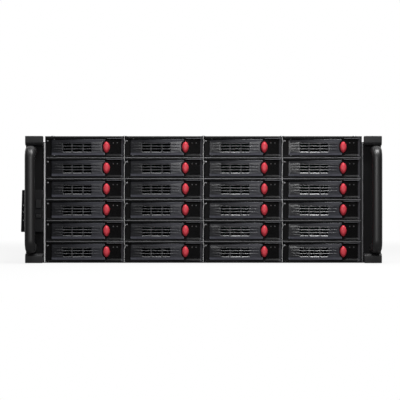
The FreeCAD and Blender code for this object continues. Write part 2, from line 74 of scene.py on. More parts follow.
def arc(across: float, up: float, radius: float, first: float, last: float, steps: int) -> list[Point]:
    """Points along an arc, its two ends among them.

    Args:
        across, up: centre of the arc.
        radius: radius of the arc.
        first, last: angles of its ends in degrees.
        steps: number of chords.

    Returns:
        The points in order.
    """
    turns = [math.radians(first + (last - first) * step / steps) for step in range(steps + 1)]
    return [(across + radius * math.cos(turn), up + radius * math.sin(turn)) for turn in turns]


@dataclass(frozen=True)
class Outline:
    """A closed flat outline in millimetres, counter-clockwise."""

    points: Points

    @classmethod
    def filleted(cls, corners: Sequence[Point], radius: float, steps: int = 4) -> "Outline":
        """An outline of straight sides with each corner rounded.

        Args:
            corners: the sharp corners, counter-clockwise.
            radius: fillet radius at every corner.
            steps: number of chords in each fillet.

        Returns:
            The rounded outline.
        """
        points: list[Point] = []
        for index, corner in enumerate(corners):
            here = Vector(corner)
            back = (Vector(corners[index - 1]) - here).normalized()
            ahead = (Vector(corners[(index + 1) % len(corners)]) - here).normalized()
            half = back.angle(ahead) / 2
            middle = here + (back + ahead).normalized() * (radius / math.sin(half))
            start = here + back * (radius / math.tan(half)) - middle
            end = here + ahead * (radius / math.tan(half)) - middle
            for step in range(steps + 1):
                spoke = start.lerp(end, step / steps).normalized() * radius
                points.append(tuple(middle + spoke))
        return cls(tuple(points))

    @classmethod
    def rounded(cls, left: float, low: float, right: float, high: float, radius: float,
                steps: int = 4) -> "Outline":
        """A rectangle with rounded corners."""
        return cls.filleted(((left, low), (right, low), (right, high), (left, high)), radius, steps)

    @classmethod
    def circle(cls, across: float, up: float, radius: float, sides: int = 24) -> "Outline":
        """A circle, or a regular polygon with few sides."""
        return cls(tuple(arc(across, up, radius, 0, 360, sides)[:-1]))

    @classmethod
    def pill(cls, across: float, up: float, radius: float, straight: float, steps: int = 10) -> "Outline":
        """A level round-ended slot.

        Args:
            across, up: its middle.
            radius: radius of its ends.
            straight: half the distance between the centres of its ends.
            steps: number of chords in each end.

        Returns:
            The outline.
        """
        far = arc(across + straight, up, radius, -90, 90, steps)
        near = arc(across - straight, up, radius, 90, 270, steps)
        return cls(tuple(far + near))

    @classmethod
    def swelled(cls, across: float, up: float, half: float, tall: float, fullness: float,
                sides: int = 32) -> "Outline":
        """A round outline of two half sizes.

        Args:
            across, up: its middle.
            half, tall: half its width and half its height.
            fullness: 2 for an ellipse, more for a fuller outline, less for a slimmer one.
            sides: number of sides.

        Returns:
            The outline.
        """
        points = []
        for first, second in arc(0.0, 0.0, 1.0, 0, 360, sides)[:-1]:
            pinch = (abs(first) ** fullness + abs(second) ** fullness) ** (-1 / fullness)
            points.append((across + half * pinch * first, up + tall * pinch * second))
        return cls(tuple(points))

    def squeezed(self, level: float, share: float) -> "Outline":
        """The outline pressed towards a level.

        Args:
            level: height of the level.
            share: what is left of each point's distance from it.

        Returns:
            An outline with as many points, in the same order.
        """
        return Outline(tuple((across, level + (up - level) * share) for across, up in self.points))

    def grown(self, amount: float) -> "Outline":
        """The outline moved outwards.

        Args:
            amount: how far each side moves, inwards if it is negative.

        Returns:
            An outline with as many points, in the same order.
        """
        moved: list[Point] = []
        for index, point in enumerate(self.points):
            here = Vector(point)
            into = (here - Vector(self.points[index - 1])).normalized()
            out = (Vector(self.points[(index + 1) % len(self.points)]) - here).normalized()
            first = Vector((into.y, -into.x))
            aside = (first + Vector((out.y, -out.x))).normalized()
            moved.append(tuple(here + aside * (amount / max(SHARPEST_MITRE, aside.dot(first)))))
        return Outline(tuple(moved))

    def mirrored(self) -> "Outline":
        """The outline mirrored left to right."""
        return Outline(tuple((-across, up) for across, up in reversed(self.points)))


class Plane(Enum):
    """The plane that an outline is drawn in; depth runs along the third axis."""

    FRONT = "xz"
    SIDE = "yz"
    TOP = "xy"

    def point(self, across: float, up: float, depth: float) -> Vector:
        """A drawn point in metres."""
        spots = {
            Plane.FRONT: (across, depth, up),
            Plane.SIDE: (depth, across, up),
            Plane.TOP: (across, up, depth),
        }
        return Vector(spots[self]) * MM


class Skin:
    """A mesh drawn as rings of points that bands join and caps close."""

    def __init__(self) -> None:
        """Start with no points."""
        self.cells = bmesh.new()

    def spot(self, across: float, up: float, depth: float, plane: Plane = Plane.FRONT) -> bmesh.types.BMVert:
        """A single point."""
        return self.cells.verts.new(plane.point(across, up, depth))

    def ring(self, outline: Outline, depth: float, plane: Plane = Plane.FRONT) -> Ring:
        """The points of an outline at a depth."""
        return [self.spot(across, up, depth, plane) for across, up in outline.points]

    def bands(self, rings: Sequence[Ring], closed: bool = True) -> None:
        """Faces between each ring and the next.

        Args:
            rings: rings, or open runs, with equal numbers of points.
            closed: whether each ring's last point joins its first.
        """
        for first, second in pairwise(rings):
            for index in range(0 if closed else 1, len(first)):
                self.cells.faces.new((first[index - 1], first[index], second[index], second[index - 1]))

    def cap(self, outer: Ring, holes: Iterable[Ring] = ()) -> None:
        """A flat face inside a ring.

        Args:
            outer: the ring.
            holes: rings inside it that are left open.
        """
        holes = list(holes)
        if not holes:
            self.cells.faces.new(outer)
            return
        edges = []
        for ring in (outer, *holes):
            for index in range(len(ring)):
                pair = (ring[index - 1], ring[index])
                edges.append(self.cells.edges.get(pair) or self.cells.edges.new(pair))
        bmesh.ops.triangle_fill(self.cells, edges=edges, use_beauty=True)

    def loft(self, rings: Sequence[Ring]) -> None:
        """A solid through rings, closed at both ends.

        Args:
            rings: rings with equal numbers of points, in order.
        """
        self.bands(rings)
        self.cap(rings[0])
        self.cap(rings[-1])

    @staticmethod
    def rounding(radius: float, depth: float, inwards: float) -> list[Point]:
        """Steps of a rounded edge from a face to the side.

        Args:
            radius: radius of the edge, or 0 for a sharp one.
            depth: depth of the face.
            inwards: 1 or -1, the way from the face into the solid.

        Returns:
            Inset and depth of each step.
        """
        turns = [math.radians(turn) for turn in EDGE_TURNS]
        steps = [(radius * (1 - math.sin(turn)), depth + inwards * radius * (1 - math.cos(turn)))
                 for turn in turns]
        return steps if radius else steps[:1]

    def prism(self, outline: Outline, front: float, back: float, edge: float = 0.0, back_edge: float = 0.0,
              holes: Sequence[Outline] = (), plane: Plane = Plane.FRONT) -> None:
        """A solid between two depths with rounded edges, also round its through holes.

        Args:
            outline: its outer outline.
            front, back: depths of its two faces.
            edge, back_edge: rounding at the front and at the back face.
            holes: outlines of through holes.
            plane: the plane of the outlines.
        """
        inwards = 1 if back > front else -1
        profile = self.rounding(edge, front, inwards) + self.rounding(back_edge, back, -inwards)[::-1]
        shells = [[self.ring(outline.grown(-inset), depth, plane) for inset, depth in profile]]
        for hole in holes:
            shells.append([self.ring(hole.grown(inset), depth, plane) for inset, depth in profile])
        for rings in shells:
            self.bands(rings)
        for end in (0, -1):
            self.cap(shells[0][end], [rings[end] for rings in shells[1:]])

    def turned(self, profile: Sequence[Point], across: float, up: float, plane: Plane, seat: float = 0.0,
               out: float = 1.0, sides: int = 20) -> None:
        """A turned shape, closed at both ends.

        Args:
            profile: radius and rise above the seat of each ring.
            across, up: its axis.
            plane: the plane of the rings.
            seat: depth of the face that it stands on.
            out: 1 or -1, the way it stands along the depth.
            sides: number of sides.
        """
        self.loft([self.ring(Outline.circle(across, up, radius, sides), seat + out * rise, plane)
                   for radius, rise in profile])

    def mesh(self, name: str, crease: float = 40.0) -> bpy.types.Mesh:
        """The finished mesh, smooth except at edges sharper than a crease.

        Args:
            name: the mesh's name.
            crease: angle of the crease in degrees.

        Returns:
            The mesh.
        """
        bmesh.ops.recalc_face_normals(self.cells, faces=self.cells.faces)
        made = bpy.data.meshes.new(name)
        self.cells.to_mesh(made)
        self.cells.free()
        made.shade_smooth()
        made.set_sharp_from_angle(angle=math.radians(crease))
        return made


@dataclass(frozen=True)
class ScrewHead:
    """A low round screw head with a six-sided socket; the rim has shares of the radius and rises."""

    radius: float
    rim: Points = ((1.0, 0.0), (1.0, 0.5), (0.86, 1.0), (0.6, 1.25))
    socket_share: float = 0.42
    socket_taper: float = 0.1
    socket_floor: float = 0.3

    def draw(self, skin: Skin, across: float, up: float, seat: float, out: float, plane: Plane) -> None:
        """Draw the head on a face.

        Args:
            skin: the skin that it is drawn in.
            across, up: its middle.
            seat: depth of the face.
            out: 1 or -1, the way it stands along the depth.
            plane: the plane of the face.
        """
        rings = [skin.ring(Outline.circle(across, up, self.radius * share), seat + out * rise, plane)
                 for share, rise in self.rim]
        skin.bands(rings)
        socket = Outline.circle(across, up, self.radius * self.socket_share, sides=6)
        mouth = skin.ring(socket, seat + out * self.rim[-1][1], plane)
        floor = skin.ring(socket.grown(-self.socket_taper), seat + out * self.socket_floor, plane)
        skin.cap(rings[-1], [mouth])
        skin.bands([mouth, floor])
        skin.cap(floor)
        skin.cap(rings[0])


# Shader values and finishes

Value = Union["Signal", float, tuple]


def scaled(colour: Colour, share: float) -> Colour:
    """A colour with each part times a share."""
    return tuple(part * share for part in colour)


class Graph:
    """A node tree that nodes are added to by type, settings and socket values."""

    def __init__(self, tree: bpy.types.NodeTree) -> None:
        """Take over a node tree."""
        self.tree = tree

    def feed(self, socket: bpy.types.NodeSocket, value: Value) -> None:
        """Link a signal to a socket, or set the socket's own value.

        Args:
            socket: an input socket.
            value: the signal, number or tuple for it.
        """
        if isinstance(value, Signal):
            self.tree.links.new(value.socket, socket)
        else:
            socket.default_value = value

    def node(self, kind: str, settings: dict, sockets: dict, output: Union[int, str] = 0) -> "Signal":
        """Add a node.

        Args:
            kind: the node's type.
            settings: its own settings, set first.
            sockets: values or signals for its inputs, by name or number.
            output: the output that is wanted, by name or number.

        Returns:
            The output as a signal.
        """
        made = self.tree.nodes.new(kind)
        for key, value in settings.items():
            setattr(made, key, value)
        for key, value in sockets.items():
            self.feed(made.inputs[key], value)
        return Signal(self, made.outputs[output])

    def ray(self, kind: str) -> "Signal":
        """One where the light path is of a kind, else zero."""
        return self.node("ShaderNodeLightPath", {}, {}, kind)


class Signal:
    """A shader value that takes part in arithmetic; each operation adds a Math node."""

    def __init__(self, graph: Graph, socket: bpy.types.NodeSocket) -> None:
        """Wrap an output socket of a graph."""
        self.graph = graph
        self.socket = socket

    def _math(self, operation: str, first: Value, second: Value) -> "Signal":
        """A Math node on two values."""
        return self.graph.node("ShaderNodeMath", {"operation": operation}, {0: first, 1: second})

    def __add__(self, other: Value) -> "Signal":
        """Sum."""
        return self._math("ADD", self, other)

    def __sub__(self, other: Value) -> "Signal":
        """Difference."""
        return self._math("SUBTRACT", self, other)

    def __rsub__(self, other: Value) -> "Signal":
        """Difference from a number."""
        return self._math("SUBTRACT", other, self)

    def __mul__(self, other: Value) -> "Signal":
        """Product."""
        return self._math("MULTIPLY", self, other)

    def __gt__(self, other: Value) -> "Signal":
        """One where the value is greater, else zero."""
        return self._math("GREATER_THAN", self, other)

    def __lt__(self, other: Value) -> "Signal":
        """One where the value is smaller, else zero."""
        return self._math("LESS_THAN", self, other)

    __radd__ = __add__
    __rmul__ = __mul__

    def larger(self, other: Value) -> "Signal":
        """The larger of two values."""
        return self._math("MAXIMUM", self, other)

    def wave(self) -> "Signal":
        """Sine of the value."""
        return self._math("SINE", self, 0.0)

    def eased(self, low: float, high: float) -> "Signal":
        """A smooth step from 0 at low to 1 at high."""
        limits = {"Value": self, "From Min": low, "From Max": high}
        return self.graph.node("ShaderNodeMapRange", {"interpolation_type": "SMOOTHSTEP"}, limits)


class Paint(Graph):
    """A material's node tree round its one surface shader."""

    def __init__(self, name: str) -> None:
        """Make the material."""
        self.material = bpy.data.materials.new(name)
        self.material.use_nodes = True
        super().__init__(self.material.node_tree)
        self.shader = self.tree.nodes["Principled BSDF"]

    def where(self) -> Signal:
        """The place on the piece, in its own axes."""
        return self.node("ShaderNodeTexCoord", {}, {}, "Object")

    def axis(self, letter: str) -> Signal:
        """One axis of the place on the piece, in metres."""
        return self.node("ShaderNodeSeparateXYZ", {}, {0: self.where()}, letter)

    def facing(self, letter: str) -> Signal:
        """One axis of the surface normal."""
        normal = self.node("ShaderNodeTexCoord", {}, {}, "Normal")
        return self.node("ShaderNodeSeparateXYZ", {}, {0: normal}, letter)

    def noise(self, size: float, detail: float = 2.0, stretch: Colour = (1.0, 1.0, 1.0)) -> Signal:
        """Cloudy noise.

        Args:
            size: width of its blotches in millimetres.
            detail: how many finer layers it has.
            stretch: scale of the place along each axis.

        Returns:
            The noise from 0 to 1.
        """
        spot = self.node("ShaderNodeVectorMath", {"operation": "MULTIPLY"}, {0: self.where(), 1: stretch})
        sockets = {"Vector": spot, "Scale": 1 / (size * MM), "Detail": detail}
        return self.node("ShaderNodeTexNoise", {}, sockets)

    def cells(self, size: float, output: str) -> Signal:
        """Cell noise with cells of a size in millimetres."""
        sockets = {"Vector": self.where(), "Scale": 1 / (size * MM)}
        return self.node("ShaderNodeTexVoronoi", {}, sockets, output)

    def between(self, factor: Value, first: Value, second: Value) -> Signal:
        """A colour between two colours."""
        first, second = ((*tone, 1.0) if isinstance(tone, tuple) else tone for tone in (first, second))
        return self.node("ShaderNodeMix", {"data_type": "RGBA"}, {0: factor, 6: first, 7: second}, 2)

    def tinted(self, colour: Colour, spread: float, factor: Value) -> Signal:
        """A colour that a factor makes darker or lighter by a share."""
        return self.between(factor, scaled(colour, 1 - spread), scaled(colour, 1 + spread))

    def bump(self, height: Value, relief: float, strength: float = 1.0) -> None:
        """Small relief in millimetres on the shading normal."""
        sockets = {"Height": height, "Distance": relief * MM, "Strength": strength}
        self.set({"Normal": self.node("ShaderNodeBump", {}, sockets, "Normal")})

    def set(self, sockets: dict) -> None:
        """Values or signals for the surface shader."""
        for key, value in sockets.items():
            self.feed(self.shader.inputs[key], value)


@dataclass(frozen=True)
class Finish:
    """A surface finish: its name, a slot name that is not used here, its colour and its roughness."""

    name: str
    slot: str
    colour: Colour
    roughness: float

    def material(self) -> bpy.types.Material:
        """The material of the finish, made once.

        Returns:
            The material.
        """
        known = bpy.data.materials.get(self.name)
        if known is None:
            paint = Paint(self.name)
            self.mix(paint)
            known = paint.material
        return known

    def gloss(self, *marks: tuple[Signal, float]) -> Signal:
        """Roughness that varies about the finish's own.

        Args:
            marks: signals from 0 to 1, each with the range of roughness that it gives.

        Returns:
            The roughness.
        """
        rough = self.roughness - sum(span for _, span in marks) / 2
        for mark, span in marks:
            rough = mark * span + rough
        return rough

    def mix(self, paint: Paint) -> None:
        """Fill in the shader."""
        raise NotImplementedError


@dataclass(frozen=True)
class MouldedPlastic(Finish):
    """Moulded plastic with a fine eroded grain and faint flow marks, with painted light where asked.

    The proud strip beyond highlight_from and the bead carry a painted highlight, sheen_end is how much paler
    the right end is painted as sheen, and lit_foot is the height below which the face is painted lit.
    """

    grain: float = 0.5
    relief: float = 0.006
    shine: float = 0.5
    highlight_from: float = 0.0
    highlight_gain: float = 13.0
    strip_front: float = -3.0
    bead_front: float = -5.02
    sheen_end: float = 0.0
    sheen_span: Point = (-35.0, 25.0)
    lit_foot: float = 0.0
    foot_light_gain: float = 11.0
    foot_fade: float = 2.0

    def mix(self, paint: Paint) -> None:
        """Grain in the relief, flow marks in tone and gloss, and painted light at the paler places.

        Args:
            paint: the material's nodes.
        """
        grain = paint.noise(self.grain)
        flow = paint.noise(size=22.0, detail=3.0, stretch=(1.0, 1.0, 2.2))
        tone = paint.tinted(self.colour, spread=0.18, factor=flow)
        # Painted highlight: a pale, noisy band on the proud strip and the bead stands in for light catching
        # them.
        if self.highlight_from:
            proud = paint.axis("Y")
            strip = (paint.axis("X") > self.highlight_from * MM) * (proud < self.strip_front * MM)
            pale = paint.tinted(scaled(self.colour, self.highlight_gain), spread=0.3, factor=paint.noise(3.0))
            tone = paint.between(strip.larger(proud < self.bead_front * MM), tone, pale)
        # Painted sheen: the right end of the face is painted paler, where light glints off the bowed front.
        if self.sheen_end:
            first, last = self.sheen_span
            pale = paint.tinted(scaled(self.colour, self.sheen_end), spread=0.18, factor=flow)
            tone = paint.between(paint.axis("X").eased(first * MM, last * MM), tone, pale)
        # Painted light: the face is painted paler below a height, standing in for fill light on its foot.
        if self.lit_foot:
            low, high = self.lit_foot - self.foot_fade, self.lit_foot + self.foot_fade
            pale = paint.tinted(scaled(self.colour, self.foot_light_gain), spread=0.2, factor=flow)
            tone = paint.between(1 - paint.axis("Z").eased(low * MM, high * MM), tone, pale)
        paint.set({
            "Base Color": tone,
            "Roughness": self.gloss((flow, 0.16), (grain, 0.1)),
            "Specular IOR Level": self.shine,
        })
        paint.bump(grain, self.relief)


@dataclass(frozen=True)
class PowderCoat(Finish):
    """Black powder coat with orange-peel relief and a little dust."""

    shine: float = 0.5

    def mix(self, paint: Paint) -> None:
        """Peel in the relief, dust in the tone.

        Args:
            paint: the material's nodes.
        """
        peel = paint.noise(size=1.1, detail=3.0)
        dust = paint.noise(size=60.0, detail=4.0)
        paint.set({
            "Base Color": paint.tinted(self.colour, spread=0.2, factor=dust),
            "Roughness": self.gloss((dust, 0.12), (peel, 0.12)),
            "Specular IOR Level": self.shine,
        })
        paint.bump(peel, relief=0.05, strength=0.8)


@dataclass(frozen=True)
class ZincSheet(Finish):
    """Zinc-plated sheet with crystals and rolling marks; front_light_tone is light or shade painted on its
    front faces.
    """

    front_light_tone: float = 0.0
    front_light_facing: float = -0.7
    front_light_rougher: float = 0.16

    def mix(self, paint: Paint) -> None:
        """Crystals in the tone, rolling marks in the gloss; painted light or shade on front faces where
        asked.

        Args:
            paint: the material's nodes.
        """
        crystal = paint.node("ShaderNodeSeparateColor", {}, {0: paint.cells(size=7.0, output="Color")}, 0)
        rolled = paint.noise(size=1.4, detail=3.0, stretch=(1.0, 0.04, 1.0))
        cloud = paint.noise(size=45.0, detail=3.0)
        tone = paint.tinted(self.colour, spread=0.16, factor=crystal * 0.5 + cloud * 0.5)
        rough = self.gloss((rolled, 0.16), (crystal, 0.04))
        # Painted light and shade: faces that look to the front take another grey, a highlight when pale and
        # shade when dark.
        if self.front_light_tone:
            cut = paint.facing("Y") < self.front_light_facing
            tone = paint.between(cut, tone, paint.tinted((self.front_light_tone,) * 3, spread=0.15, factor=cloud))
            rough = rough + cut * self.front_light_rougher
        paint.set({"Base Color": tone, "Roughness": rough, "Metallic": 1.0})
        paint.bump(rolled, relief=0.01, strength=0.5)


@dataclass(frozen=True)
class SatinPaint(Finish):
    """Satin paint on a round bar, rubbed smoother in patches."""

    def mix(self, paint: Paint) -> None:
        """Soft relief and hand-worn gloss.

        Args:
            paint: the material's nodes.
        """
        peel = paint.noise(size=2.2)
        rubbed = paint.noise(size=30.0, stretch=(1.0, 1.0, 0.5))
        paint.set({
            "Base Color": paint.tinted(self.colour, spread=0.15, factor=rubbed),
            "Roughness": self.gloss((rubbed, 0.14), (peel, 0.06)),
            "Specular IOR Level": 1.0,
        })
        paint.bump(peel, relief=0.01, strength=0.6)


@dataclass(frozen=True)
class ClearLens(Finish):
    """Moulded lamp lens with milky clouds in it."""

    def mix(self, paint: Paint) -> None:
        """Milky clouds under a glossy face.

        Args:
            paint: the material's nodes.
        """
        milk = paint.noise(size=0.6)
        paint.set({
            "Base Color": paint.tinted(self.colour, spread=0.12, factor=milk),
            "Roughness": self.gloss((milk, 0.1)),
        })


@dataclass(frozen=True)
class CircuitBoard(Finish):
    """Solder mask over copper runs, with black sockets in front and behind."""

    face: float = 190.0
    back: float = 191.6
    stand_off: float = 0.2
    run_rate: float = 2600.0
    run_drift: float = 9.0
    run_gain: float = 1.9
    run_edge: Point = (0.55, 0.75)
    pad_pitch: float = 3.4
    pad_edge: Point = (0.16, 0.22)
    pad: Colour = (0.5, 0.42, 0.2)
    socket: Colour = (0.02, 0.02, 0.022)

    def mix(self, paint: Paint) -> None:
        """Copper runs show through the mask; whatever stands off the board is black plastic.

        Args:
            paint: the material's nodes.
        """
        along = paint.axis("Y")
        ahead = along < (self.face - self.stand_off) * MM
        behind = along > (self.back + self.stand_off) * MM
        drift = paint.noise(size=14.0, detail=0.0) * self.run_drift
        runs = (paint.axis("Z") * self.run_rate + drift).wave().eased(*self.run_edge)
        pads = 1 - paint.cells(self.pad_pitch, "Distance").eased(*self.pad_edge)
        board = paint.between(runs, self.colour, scaled(self.colour, self.run_gain))
        board = paint.between(pads, board, self.pad)
        paint.set({
            "Base Color": paint.between(ahead.larger(behind), board, self.socket),
            "Roughness": self.gloss((paint.noise(size=8.0), 0.15)),
        })
        paint.bump(runs, relief=0.03)


@dataclass(frozen=True)
class TurnedBrass(Finish):
    """Turned brass with fine tool marks."""

    def mix(self, paint: Paint) -> None:
        """Tool marks run round the post.

        Args:
            paint: the material's nodes.
        """
        marks = paint.noise(size=0.35, stretch=(0.2, 0.2, 1.0))
        paint.set({
            "Base Color": paint.tinted(self.colour, spread=0.15, factor=marks),
            "Roughness": self.gloss((marks, 0.2)),
            "Metallic": 1.0,
        })


CASE_BLACK = PowderCoat("case_black", "black_paint", (0.018, 0.018, 0.02), 0.5)
EAR_BLACK = PowderCoat("ear_black", "black_paint", (0.005, 0.005, 0.0055), 0.6, shine=0.15)
BLOCK_BLACK = MouldedPlastic("block_black", "black_paint", (0.017, 0.017, 0.018), 0.42)
BAR_BLACK = SatinPaint("bar_black", "handle_paint", (0.004, 0.004, 0.0045), 0.45)
CAGE_STEEL = ZincSheet("cage_steel", "zinc_steel", (0.56, 0.57, 0.59), 0.38)
SHELF_STEEL = ZincSheet("shelf_steel", "zinc_steel", (0.3, 0.3, 0.31), 0.5)
# The edged trims and strips carry a painted highlight on their front faces.
CAGE_HIGHLIT = ZincSheet("cage_painted_highlight", "zinc_steel", (0.56, 0.57, 0.59), 0.38, front_light_tone=0.8)
# The dividers' front faces carry painted shade, dark grey in the gaps between trays.
DIVIDER_SHADED = ZincSheet("divider_painted_shade", "zinc_steel", (0.3, 0.3, 0.31), 0.5, front_light_tone=0.03)
# The lever's paler right end and paler foot are painted sheen and painted light, not wear.
LEVER_GREY = MouldedPlastic("lever_grey", "tray_plastic", (0.012, 0.0122, 0.015), 0.28, shine=0.45,
                            sheen_end=3.0, lit_foot=5.5)
# The ribs' pale grey is a painted highlight on the thin webs.
RIB_HIGHLIGHT = MouldedPlastic("rib_painted_highlight", "tray_plastic", (0.1, 0.1, 0.105), 0.32)
# The bezel's pale proud strip and bead are a painted highlight.
BEZEL_BLACK = MouldedPlastic("bezel_black", "tray_plastic", (0.004, 0.004, 0.0045), 0.5, shine=0.15,
                             highlight_from=48.7)
GRILLE_BLACK = MouldedPlastic("grille_black", "tray_plastic", (0.004, 0.004, 0.0045), 0.6, shine=0.15)
BUTTON_RED = MouldedPlastic("button_red", "red_plastic", (0.78, 0.055, 0.08), 0.42)
MODULE_BLACK = MouldedPlastic("module_black", "module_plastic", (0.006, 0.006, 0.007), 0.5, shine=0.25)
KEY_BLACK = MouldedPlastic("key_black", "module_plastic", (0.01, 0.01, 0.011), 0.42, shine=0.35)
SMOKED_LENS = ClearLens("smoked_lens", "lamp_lens", (0.22, 0.22, 0.225), 0.25)
BOARD_GREEN = CircuitBoard("board_green", "circuit_board", (0.012, 0.07, 0.03), 0.355)
FAN_BLACK = MouldedPlastic("fan_black", "fan_plastic", (0.012, 0.012, 0.013), 0.42)
POST_BRASS = TurnedBrass("post_brass", "brass_post", (0.7, 0.53, 0.24), 0.32)


def placed(name: str, data: bpy.types.ID, place: Sequence[float]) -> bpy.types.Object:
    """A new object in the scene.

    Args:
        name: its name.
        data: its mesh, light or camera.
        place: where its own origin goes, in metres.

    Returns:
        The object.
    """
    item = bpy.data.objects.new(name, data)
    bpy.context.scene.collection.objects.link(item)
    item.location = place
    return item


def set_piece(name: str, mesh: bpy.types.Mesh, finish: Finish, body: str,
              place: Sequence[float] = (0, 0, 0), stands_for: Sequence[str] = ()) -> None:
    """Put a drawn piece in the scene on the body that carries it.

    Args:
        name: the piece's name.
        mesh: its mesh, which other pieces may share.
        finish: its finish.
        body: the body that it rides on.
        place: where its own origin goes, in metres.
        stands_for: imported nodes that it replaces.
    """
    if not mesh.materials:
        mesh.materials.append(finish.material())
    item = placed(name, mesh, place)
    item.modifiers.new("even_shading", "WEIGHTED_NORMAL").keep_sharp = True
    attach(item, body)
    if stands_for:
        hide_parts(*stands_for)
    LOG.info("piece %s on %s", name, body)


def set_skin(name: str, skin: Skin, finish: Finish, body: str = "chassis",
             stands_for: Sequence[str] = ()) -> None:
    """Put a skin that is drawn in its final place in the scene, as set_piece does."""
    set_piece(name, skin.mesh(name), finish, body, stands_for=stands_for)


# Drive trays, drawn about the middle of their bays and the tops of their shelves

@dataclass(frozen=True)
class ReleaseButton:
    """Tall red button that frees a lever; the dome has shares of its size and depths."""

    across: float = 29.0
    up: float = 13.9
    radius: float = 4.6
    straight: float = 2.9
    fullness: float = 1.75
    dome: Points = ((0.3, -8.0), (0.55, -7.85), (0.72, -7.4), (0.85, -6.6), (0.94, -5.6), (1.0, -4.4))
    shank_half: float = 2.0
    shank_rise: float = 4.5
    shank_back: float = 6.5

    def shank(self, room: float = 0.0) -> Outline:
        """Section of the shank, larger by some room for its hole."""
        half, rise = self.shank_half + room, self.shank_rise + room
        return Outline.rounded(self.across - half, self.up - rise, self.across + half, self.up + rise,
                               radius=0.6, steps=2)

    def mesh(self, back: float, moves: bool) -> bpy.types.Mesh:
        """Domed button.

        Args:
            back: depth of its back.
            moves: whether it can be pressed and so has a shank.

        Returns:
            The mesh.
        """
        skin = Skin()
        tall = self.radius + self.straight
        rings = []
        for share, depth in (*self.dome, (1.0, back)):
            outline = Outline.swelled(self.across, self.up, self.radius * share, tall * share, self.fullness)
            rings.append(skin.ring(outline, depth))
        skin.loft(rings)
        if moves:
            skin.prism(self.shank(), back, self.shank_back, back_edge=0.3)
        return skin.mesh("tray_button")


